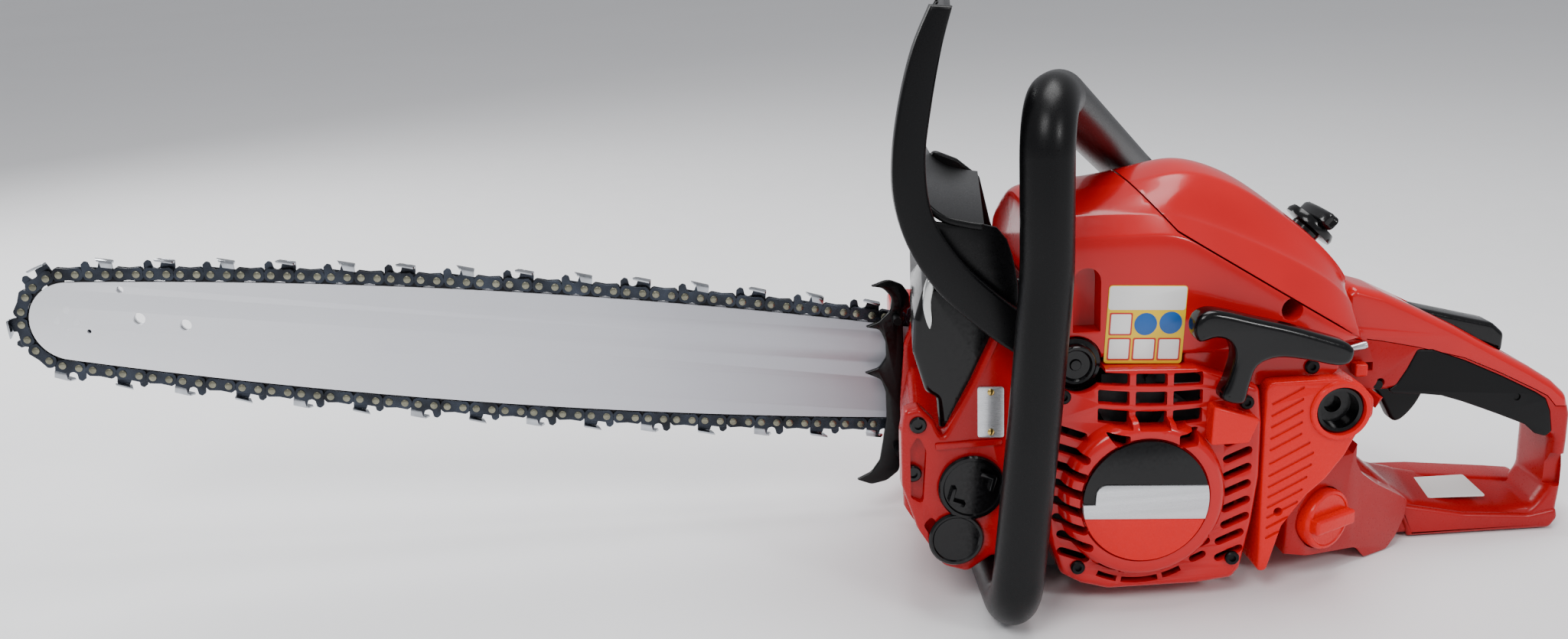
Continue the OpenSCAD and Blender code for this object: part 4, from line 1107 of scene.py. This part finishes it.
def rope_guide():
    """Block that the rope comes out of."""
    block = rounded([(197, 106), (220, 98), (215, 86), (196, 86)], 1.5, 3)
    pillow("rope_outlet", block, -87, -77.1, 1.2, M["red_bright"], replaces=("rope_guide",))


def starter_grip():
    """Moulded T handle at rest on the rope outlet."""
    body, slot = "starter_grip", "black_satin"
    bar_line = smooth([(186.5, 151.5), (192, 154.5), (200, 153.5), (214, 149.5), (232, 144.5), (250, 138.5),
                       (260, 134.5), (263, 130), (260.5, 124.8), (254, 124), (240, 127.5), (226, 129.5),
                       (216.5, 126), (213, 117), (210, 107.5), (199.5, 110.5), (202.5, 120), (205, 131),
                       (202.5, 138.5), (196, 141), (188, 139.5), (185, 145)], 4, True)
    pillow("pull_handle", bar_line, -91.5, -78, 3.4, M["black"], body=body, slot=slot,
           replaces=("starter_grip",))


def lean(obj):
    """Slopes the front of a casing back towards the bar's side."""
    for v in obj.data.vertices:
        x, y = v.co.x / MM - MID_X, v.co.y / MM
        share = min(max((104 - x) / 34, 0), 1)
        v.co.x += max(0, y + 56) * 0.13 * share * MM


def front_housing():
    """Red front casing with openings for the oil filler and plug, and screw bosses."""
    left = rounded([(56, 42), (68, 24), (80, 20), (92, 28), (111.5, 28), (111.5, 152), (98.5, 152),
                    (83, 119), (68, 91), (64, 101), (57, 108.5), (50, 107), (47.8, 96), (47.8, 68)],
                   [8, 8, 5, 4, 1, 1, 1.5, 3, 2.5, 3, 3, 3, 8, 8])
    obj = pillow("front_casing", left, -72, -60, 2.6, M["red_front"], slot="red_housing",
                 replaces=("oil_tank_housing",))
    middle = rounded([(50, 45), (62, 26), (74, 8), (111.5, 8), (111.5, 93), (54, 93), (49, 70)], 5)
    tank = pillow("casing_core", middle, -64, 54, 3.0, M["red_front"], body=None)
    right = rounded([(50, 45), (62, 26), (111.5, 26), (111.5, 114), (128, 128), (128, 150), (74, 150),
                     (62, 132), (52, 106), (49, 70)], 5)
    flange = pillow("casing_flange", right, 41, 54, 2.0, M["red_front"], body=None)
    lean(tank)
    lean(flange)
    pad = pillow("bar_pad", rounded([(67, 62), (111.5, 56), (111.5, 96), (67, 100)], 3), 50, 64.5, 0.8,
                 M["red_front"], body=None)
    boolean(obj, [tank, flange, pad], "UNION")
    tools = [cutter([(40, -1), (113, -1), (113, 28), (92, 28), (80, 20.5), (68, 24.5), (40, 70)], -80, 2)]
    tools.append(cutter(circle_outline(*OIL_CAP, 15.3), -80, -56))
    tools.append(cutter(circle_outline(*LOWER_PLUG, 12.4), -80, -66))
    for u in STUD_DISTANCES:
        tools.append(bar_cutter(circle_outline(u, 0, 4.1, 24), 22))
    tools.append(cutter(rounded([(52, 62), (58, 58), (60, 86), (56, 95), (52, 88)], 2, 3), -80, -67.5))
    tools.append(cutter(rounded([(58, 47), (65, 34), (67, 44), (62, 52)], 2, 3), -80, -68.5))
    boolean(obj, tools)
    bevelled(obj, 0.6, 2, 45)
    ridge = rounded([(64, 90), (97, 90.5), (97, 87.5), (64.5, 86.5)], 1, 2)
    pillow("casing_ridge", ridge, -73.2, -71.5, 0.5, M["red_front"], slot="red_housing", steps=2)
    for k, (x, z) in enumerate(((56, 100), (53.5, 74))):
        lathe(f"casing_screw_{k}", [(4.2, 0), (4.2, 2.2), (3.5, 3), (2, 3), (1.8, 1.4), (0.1, 1.4)],
              facing_left(x, -71 + k * 2.5, z), M["black"], segments=28, slot="black_steel")


def caps():
    """Oil filler cap, lower plug, upper isolator cap and nameplate."""
    profile = [(14.6, -15), (14.8, 2.1), (16.5, 2.3), (16.7, 3.4), (15.9, 4.6), (14.4, 4.8), (13.8, 3.7),
               (0.1, 3.5)]
    lathe("oil_filler", profile, facing_left(OIL_CAP[0], -70, OIL_CAP[1]), M["black"], body="oil_cap",
          slot="black_gloss", segments=64, replaces=("oil_cap",))
    for k, angle in enumerate((28, 208)):
        lug = [(6.5, -4.6), (10.8, 0), (6.5, 4.6), (8.2, 5.8), (13.2, 0.8), (13.2, -0.8), (8.2, -5.8)]
        pts = turned([(OIL_CAP[0] + x, OIL_CAP[1] + z) for x, z in lug], math.radians(angle), OIL_CAP)
        pillow(f"oil_lug_{k}", pts, -76.6, -73.2, 0.5, M["black"], body="oil_cap", slot="black_gloss",
               steps=2)
    profile = [(12, -12), (12, 1.1), (13.7, 1.3), (13.8, 2.2), (13, 3.2), (11.9, 3), (11.2, 2.2),
               (0.1, 1.8)]
    lathe("lower_plug", profile, facing_left(LOWER_PLUG[0], -71, LOWER_PLUG[1]), M["black"],
          slot="black_gloss", segments=56)
    profile = [(12.6, -8), (12.6, -1), (10.4, -0.6), (10.2, 1.6), (9.2, 2.8), (8, 2.6), (7, 1.2), (3, 1),
               (2.4, 2), (0.1, 2.2)]
    lathe("upper_isolator", profile, facing_left(UPPER_ISOLATOR[0] - 1, -71, UPPER_ISOLATOR[1]),
          M["black"], slot="black_gloss", segments=56)
    plate = rounded([(85, 92), (98, 91.2), (98, 117.2), (85, 118)], 1.5, 4)
    pillow("number_plate", plate, -73.1, -72.1, 0.25, M["badge"], steps=2, slot="badge",
           replaces=("nameplate",))
    for k, (x, z) in enumerate(((91.5, 115), (91.5, 94.5))):
        lathe(f"plate_rivet_{k}", [(1.7, 0), (1.6, 0.6), (1.0, 1.0), (0.1, 1.1)], facing_left(x, -73.1, z),
              M["brass"], segments=24, slot="badge")


def muffler_parts():
    """Black heat guard round the muffler, with a bright shield at its front edge."""
    outline = rounded([(56.5, 150), (55.5, 134), (61.5, 113), (67, 109.5), (68, 94), (111.2, 94),
                       (111.2, 168), (62, 168)], [5, 8, 6, 4, 1, 1, 2, 6])
    obj = pillow("heat_guard", outline, -63.8, 39.5, 4, M["black"], slot="black_gloss",
                 replaces=("muffler_guard",))
    lean(obj)
    bevelled(obj, 0.5, 2, 45)
    edge = smooth([(63.5, 171), (60.8, 163), (60.6, 154), (63.2, 146), (65, 150), (64.6, 160),
                   (67, 171)], 4, True)
    pillow("bright_shield", edge, -66, -60, 0.8, M["shield"], slot="steel", steps=2)


def clutch_cover():
    """Cover over the clutch and sprocket, with raised drum housing, ribs and two nuts."""
    flange = rounded([(62, 40), (72, 26), (120, 12), (200, 10), (222, 24), (225.8, 60), (222, 96),
                      (196, 114), (150, 118), (62, 124)], 6, 5)
    obj = pillow("sprocket_cover", flange, 54.6, 101, 5, M["red"], replaces=("clutch_cover",))
    bulge = rounded([(122, 30), (140, 16), (200, 14), (218, 28), (222, 60), (216, 92), (190, 108),
                     (150, 112), (124, 104)], 12, 5)
    drum = pillow("drum", bulge, 90, 117, 7, M["red"], body=None)
    boolean(obj, [drum], "UNION")
    tools = [cutter(inset(flange, 3.2), 40, 97.5),
             cutter([(40, 26), (86, 26), (86, 140), (40, 140)], 50, 80),
             cutter([(112, 0), (210, 0), (210, 24), (112, 24)], 50, 80),
             cutter([(60, 53), (116, 53), (116, 103), (60, 103)], 53, 66),
             cutter(circle_outline(CRANK_X, CRANK_Z, 40, 64), 60, 113.5)]
    for k in range(5):
        tools.append(cutter(slot_outline(150 + k * 12, 92 - abs(k - 2) * 2, 5, 16, 0), 112, 130))
    boolean(obj, tools)
    bevelled(obj, 0.5, 2, 42)
    ring = [(40, 0), (39, 1.6), (36.5, 1.8), (35.5, 0)]
    lathe("drum_ring", ring, facing_right(CRANK_X + 3, 115.4, 56), M["red"], segments=72)
    for k, u in enumerate(STUD_DISTANCES):
        at = Matrix.Translation(bar_point(u, 0, 0)) @ Matrix.Rotation(BAR_PITCH, 4, "Y") @ \
            Matrix.Rotation(math.radians(-90), 4, "X")
        shift = Matrix.Translation((0, 101.2 - CHAIN_Y, 0))
        hexagon = circle_outline(0, 0, 8, 6)
        verts, faces = [], []
        for scale, h in ((1, 0), (1, 6.6), (0.9, 7.6)):
            verts += [shift @ at @ Vector((x * scale, y * scale, h)) for x, y in hexagon]
        for j in range(2):
            faces += [(j * 6 + i, j * 6 + (i + 1) % 6, (j + 1) * 6 + (i + 1) % 6, (j + 1) * 6 + i)
                      for i in range(6)]
        faces += [tuple(range(6)), tuple(12 + i for i in range(6))]
        nut = finish_mesh(f"bar_nut_{k}", verts, faces, M["steel"], slot="steel",
                          replaces=("bar_nuts",) if not k else (), sharp=20)
        bevelled(nut, 0.4, 2, 20)


# ---------------------------------------------------------------- rear handle
HALF_W = 19.5
GRIP = [(313.5, 84.6), (318, 88), (323, 96), (328, 106.5), (336, 106), (354, 99), (375, 89),
        (394, 79), (400, 75), (403, 68), (405, 56), (402, 53.5), (396, 55.5), (390, 61), (374, 68),
        (356, 75.5), (343, 80), (333, 81.5), (316, 83)]


def slope_foot(verts):
    """Tilts the top of the foot down towards the starter side."""
    out = []
    for x, y, z in verts:
        inside = 316 < x < 402 and 7 < z < 31
        low = min(max((31 - z) / 8, 0), 1)
        ends = min(max((402 - x) / 10, 0), 1)
        out.append((x, y, z + (y * 0.27 * low * ends if inside else 0)))
    return out


def rear_handle():
    """Rear handle and fuel tank in one moulding, with its finger opening and foot."""
    loop = rounded([(272, 119), (288, 124), (288, 139), (293, 142.6), (309, 137.5), (325, 129.5),
                    (350, 116.5), (375, 101.8), (392, 92), (405, 83.5), (413, 76), (416.2, 65),
                    (416.2, 50), (415, 22), (413.5, 5), (409, 0.3), (312, 0.3), (300, 6), (272, 40)],
                   [2, 3, 4, 5, 20, 20, 30, 30, 30, 16, 9, 10, 20, 20, 7, 6, 4, 10, 2], 6)
    gap = rounded([(298, 77), (295, 66), (295, 57), (299, 49), (307, 41), (320, 30), (336, 22), (360, 17),
                   (382, 15), (400, 14.5), (406.5, 24), (406.5, 52), (396, 57), (390, 62), (374, 69),
                   (356, 76.5), (343, 81), (333, 83), (307, 84)],
                  [8, 10, 8, 10, 14, 14, 16, 20, 14, 7, 9, 4, 4, 8, 20, 20, 8, 8, 3], 6)
    verts, faces = pillow_data(loop, -HALF_W, HALF_W, 4.2, gap, 7, 8)
    obj = finish_mesh("handle_loop", slope_foot(verts), faces, M["red_tank"], slot="red_body",
                      replaces=("rear_handle",), sharp=50)
    side = rounded([(226.5, 118), (262, 118), (272, 119), (296, 121), (306, 92), (299, 85), (290, 77),
                    (286.5, 66), (286.5, 57), (291, 49), (302, 40), (316, 31), (325, 25), (324, 16),
                    (318, 6), (312, 0.4), (296, 0.4), (290, 8), (226.5, 18)],
                   [6, 4, 4, 4, 6, 6, 8, 10, 8, 10, 14, 14, 3, 6, 8, 5, 4, 8, 4], 5)
    tank = pillow("tank", side, -66, 66, 4, M["red_tank"], body=None, sharp=50)
    plan = rounded([(226.5, -43.5), (244, -43.5), (244, -64), (254, -64), (330, -24), (334, -20), (334, 22),
                    (326, 30), (250, 65), (226.5, 65)], [1, 1, 2, 8, 6, 4, 4, 6, 8, 1], 5)
    boolean(tank, [cutter(plan, -5, 200, axis="z")], "INTERSECT")
    boolean(tank, [cutter([(220, 62), (284, 62), (300, 88), (345, 88), (345, 170), (220, 170)],
                          -90, -HALF_W - 5),
                   cutter([(220, 60), (345, 60), (345, 170), (220, 170)], HALF_W + 26, 90),
                   cutter([(220, 98), (272, 98), (272, 130), (220, 130)], -30, 30)])
    boolean(obj, [tank], "UNION")
    tools = [lathe("socket", [(16.6, -12), (16.6, 30)], cap_matrix(), None, body=None, segments=64),
             cutter(inset(rounded(SIDE, 4, 4), -0.5), -90, -43.8),
             cutter([(300, 60), (345, 60), (345, 104), (300, 104)], -7, 7),
             cutter([(326, 100), (390, 66), (390, 150), (326, 150)], -10, 10),
             cutter(circle_outline(*SWITCH, 3.4), -30, -14),
             cutter(circle_outline(309, 89.4, 2.4), -30, -10),
             cutter([(292.4, 98.2), (302, 98.2), (302, 102.8), (292.4, 102.8)], -28, -12),
             cutter(inset(rounded(GRIP, 2, 4), -0.25), -30, -HALF_W + 2.2),
             cutter(inset(rounded(GRIP, 2, 4), -0.25), HALF_W - 2.2, 30),
             cutter(rounded([(405, 24.5), (414, 24), (416, 42.5), (407.5, 43)], 1, 2), -30, -13)]
    boolean(obj, tools, sharp=50)
    seam = [(286, 117.5), (297, 114.4), (308, 112.4), (328, 107.8), (354, 100.4), (375, 90.5), (394, 80.5),
            (401, 76.5), (406, 70.5), (430, 68.5), (430, 160), (286, 160)]
    shell = split(obj, "handle_shell", seam, 0.22)
    shell.data.materials.clear()
    shell.data.materials.append(M["red"])
    bevelled(obj, 0.4, 2, 50)
    bevelled(shell, 0.4, 2, 50)
    left = rounded([(322, 20), (330, 0.4), (409, 0.4), (413, 6), (412, 12), (396, 9), (360, 12)],
                   [2, 1, 4, 4, 4, 20, 20], 4)
    right = rounded([(320, 24), (320, 0.3), (409, 0.3), (413, 6), (412, 16), (396, 18), (350, 23)],
                    [3, 2, 4, 4, 4, 20, 20], 4)
    pillow("foot_left", left, -21, -16, 2.4, M["red_tank"], slot="red_body")
    pillow("foot_right", right, 10, 33.5, 4, M["red_tank"], slot="red_body")
    lean_y = Matrix.Translation((0, 0, 19.6)) @ Matrix.Rotation(math.radians(15.2), 4, "X")
    sticker = rounded([(331, -9), (377, -11), (373, 9), (329, 9)], 1.5, 3)
    pillow("foot_label", sticker, 0, 0.5, 0.2, M["white"], axis="z", steps=2, slot="bar_paint",
           at=lean_y)
    grip = rounded(GRIP, 2, 4)
    for name, y0, y1 in (("grip_left", -HALF_W - 0.4, -HALF_W + 2.1),
                         ("grip_right", HALF_W - 2.1, HALF_W + 0.4)):
        piece = pillow(name, grip, y0, y1, 0.9, M["satin"], steps=3, slot="black_satin",
                       replaces=("handle_grip",) if name == "grip_left" else ())
        boolean(piece, [cutter(circle_outline(384, 77, 2), y0 - 2 if y0 < 0 else y1 - 0.8,
                               y0 + 0.8 if y0 < 0 else y1 + 2)])
    under = rounded([(316, 84), (343, 80.2), (390, 61.2), (404, 53), (404, 58), (391, 66.5), (345, 84.5),
                     (330, 87)], 1.5, 3)
    for k, (y0, y1) in enumerate(((-17.5, -7.2), (7.2, 17.5))):
        pillow(f"grip_under_{k}", under, y0, y1, 1.2, M["satin"], steps=3, slot="black_satin")


def cap_matrix():
    """A matrix whose +Z points out of the fuel filler."""
    return Matrix.Translation((265.5, -58.9, 32)) @ Matrix.Rotation(math.radians(29), 4, "Z") @ \
        Matrix.Rotation(math.radians(90), 4, "X")


def controls():
    """Trigger, lockout, switch, choke lever and fuel cap."""
    trigger = smooth([(303.5, 86), (304, 92.5), (309, 94.5), (330, 95), (340, 91), (340.5, 80), (336, 70),
                      (329, 62.5), (324, 62.2), (320, 69), (314, 79)], 5, True)
    pillow("trigger_blade", trigger, -5.5, 5.5, 2.4, M["satin"], body="trigger", slot="black_satin",
           replaces=("throttle_trigger",))
    lever = rounded([(328, 119), (331.5, 126), (374, 115), (380.5, 109), (380, 98.5), (374, 101),
                     (345, 113)],
                    [2, 3, 6, 5, 2, 6, 8], 5)
    pillow("lockout_blade", lever, -8.5, 8.5, 2.6, M["black"], body="lockout", slot="black_satin",
           replaces=("lockout_lever",))
    lathe("switch_pivot", [(3.0, -11), (3.1, 0), (3.1, 2), (2.4, 3)],
          facing_left(SWITCH[0], -26, SWITCH[1]), M["steel"], body="switch", slot="steel", segments=28,
          replaces=("stop_switch",))
    lever_at = Matrix.Translation((SWITCH[0], -27.5, SWITCH[1])) @ \
        Matrix.Rotation(math.radians(20), 4, "X") @ Matrix.Rotation(math.radians(76), 4, "Y")
    lathe("switch_lever", [(1.5, 0), (1.6, 3), (2.1, 11), (1.8, 12.6), (0.9, 13)], lever_at, M["steel"],
          body="switch", slot="steel", segments=24)
    pillow("choke_tab", rounded([(290, 97), (297, 97), (297, 104), (290, 104)], 1.5, 3), -31, -24.5, 1.2,
           M["red_bright"], body="choke", slot="red_gloss", steps=3, replaces=("choke_lever",))
    stem = rounded([(293, 98.6), (296, 98.6), (296, 102.4), (293, 102.4)], 0.5, 2)
    pillow("choke_stem", stem, -25, -14, 0.4, M["red_bright"], body="choke", slot="red_gloss", steps=2)
    cap = cap_matrix()
    profile = [(15.6, -6), (16, 0), (16, 2.6), (15.2, 3.8), (13.8, 4.2), (13.2, 3.6), (0.1, 3.6)]
    lathe("fuel_filler", profile, cap, M["red_bright"], body="fuel_cap", segments=64,
          replaces=("fuel_cap",))
    wing = rounded([(-14.5, -4), (14.5, -4), (14.5, 4), (-14.5, 4)], 2, 4)
    pillow("fuel_wing", wing, 2.8, 9, 1.6, M["red_bright"], axis="z", at=cap, body="fuel_cap", steps=4)


def carried_nodes():
    """Gives each CAD node that stays visible its material."""
    for name, look in NODE_LOOK.items():
        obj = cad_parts[name]
        obj.data.materials.clear()
        obj.data.materials.append(M[look])


studio()
chain()
guide_bar()
bumper()
front_handle()
hand_guard()
top_cover()
cover_skirt()
air_filter()
latch()
starter_cover()
badge()
label()
side_cover()
rope_guide()
starter_grip()
front_housing()
caps()
muffler_parts()
clutch_cover()
rear_handle()
controls()
carried_nodes()
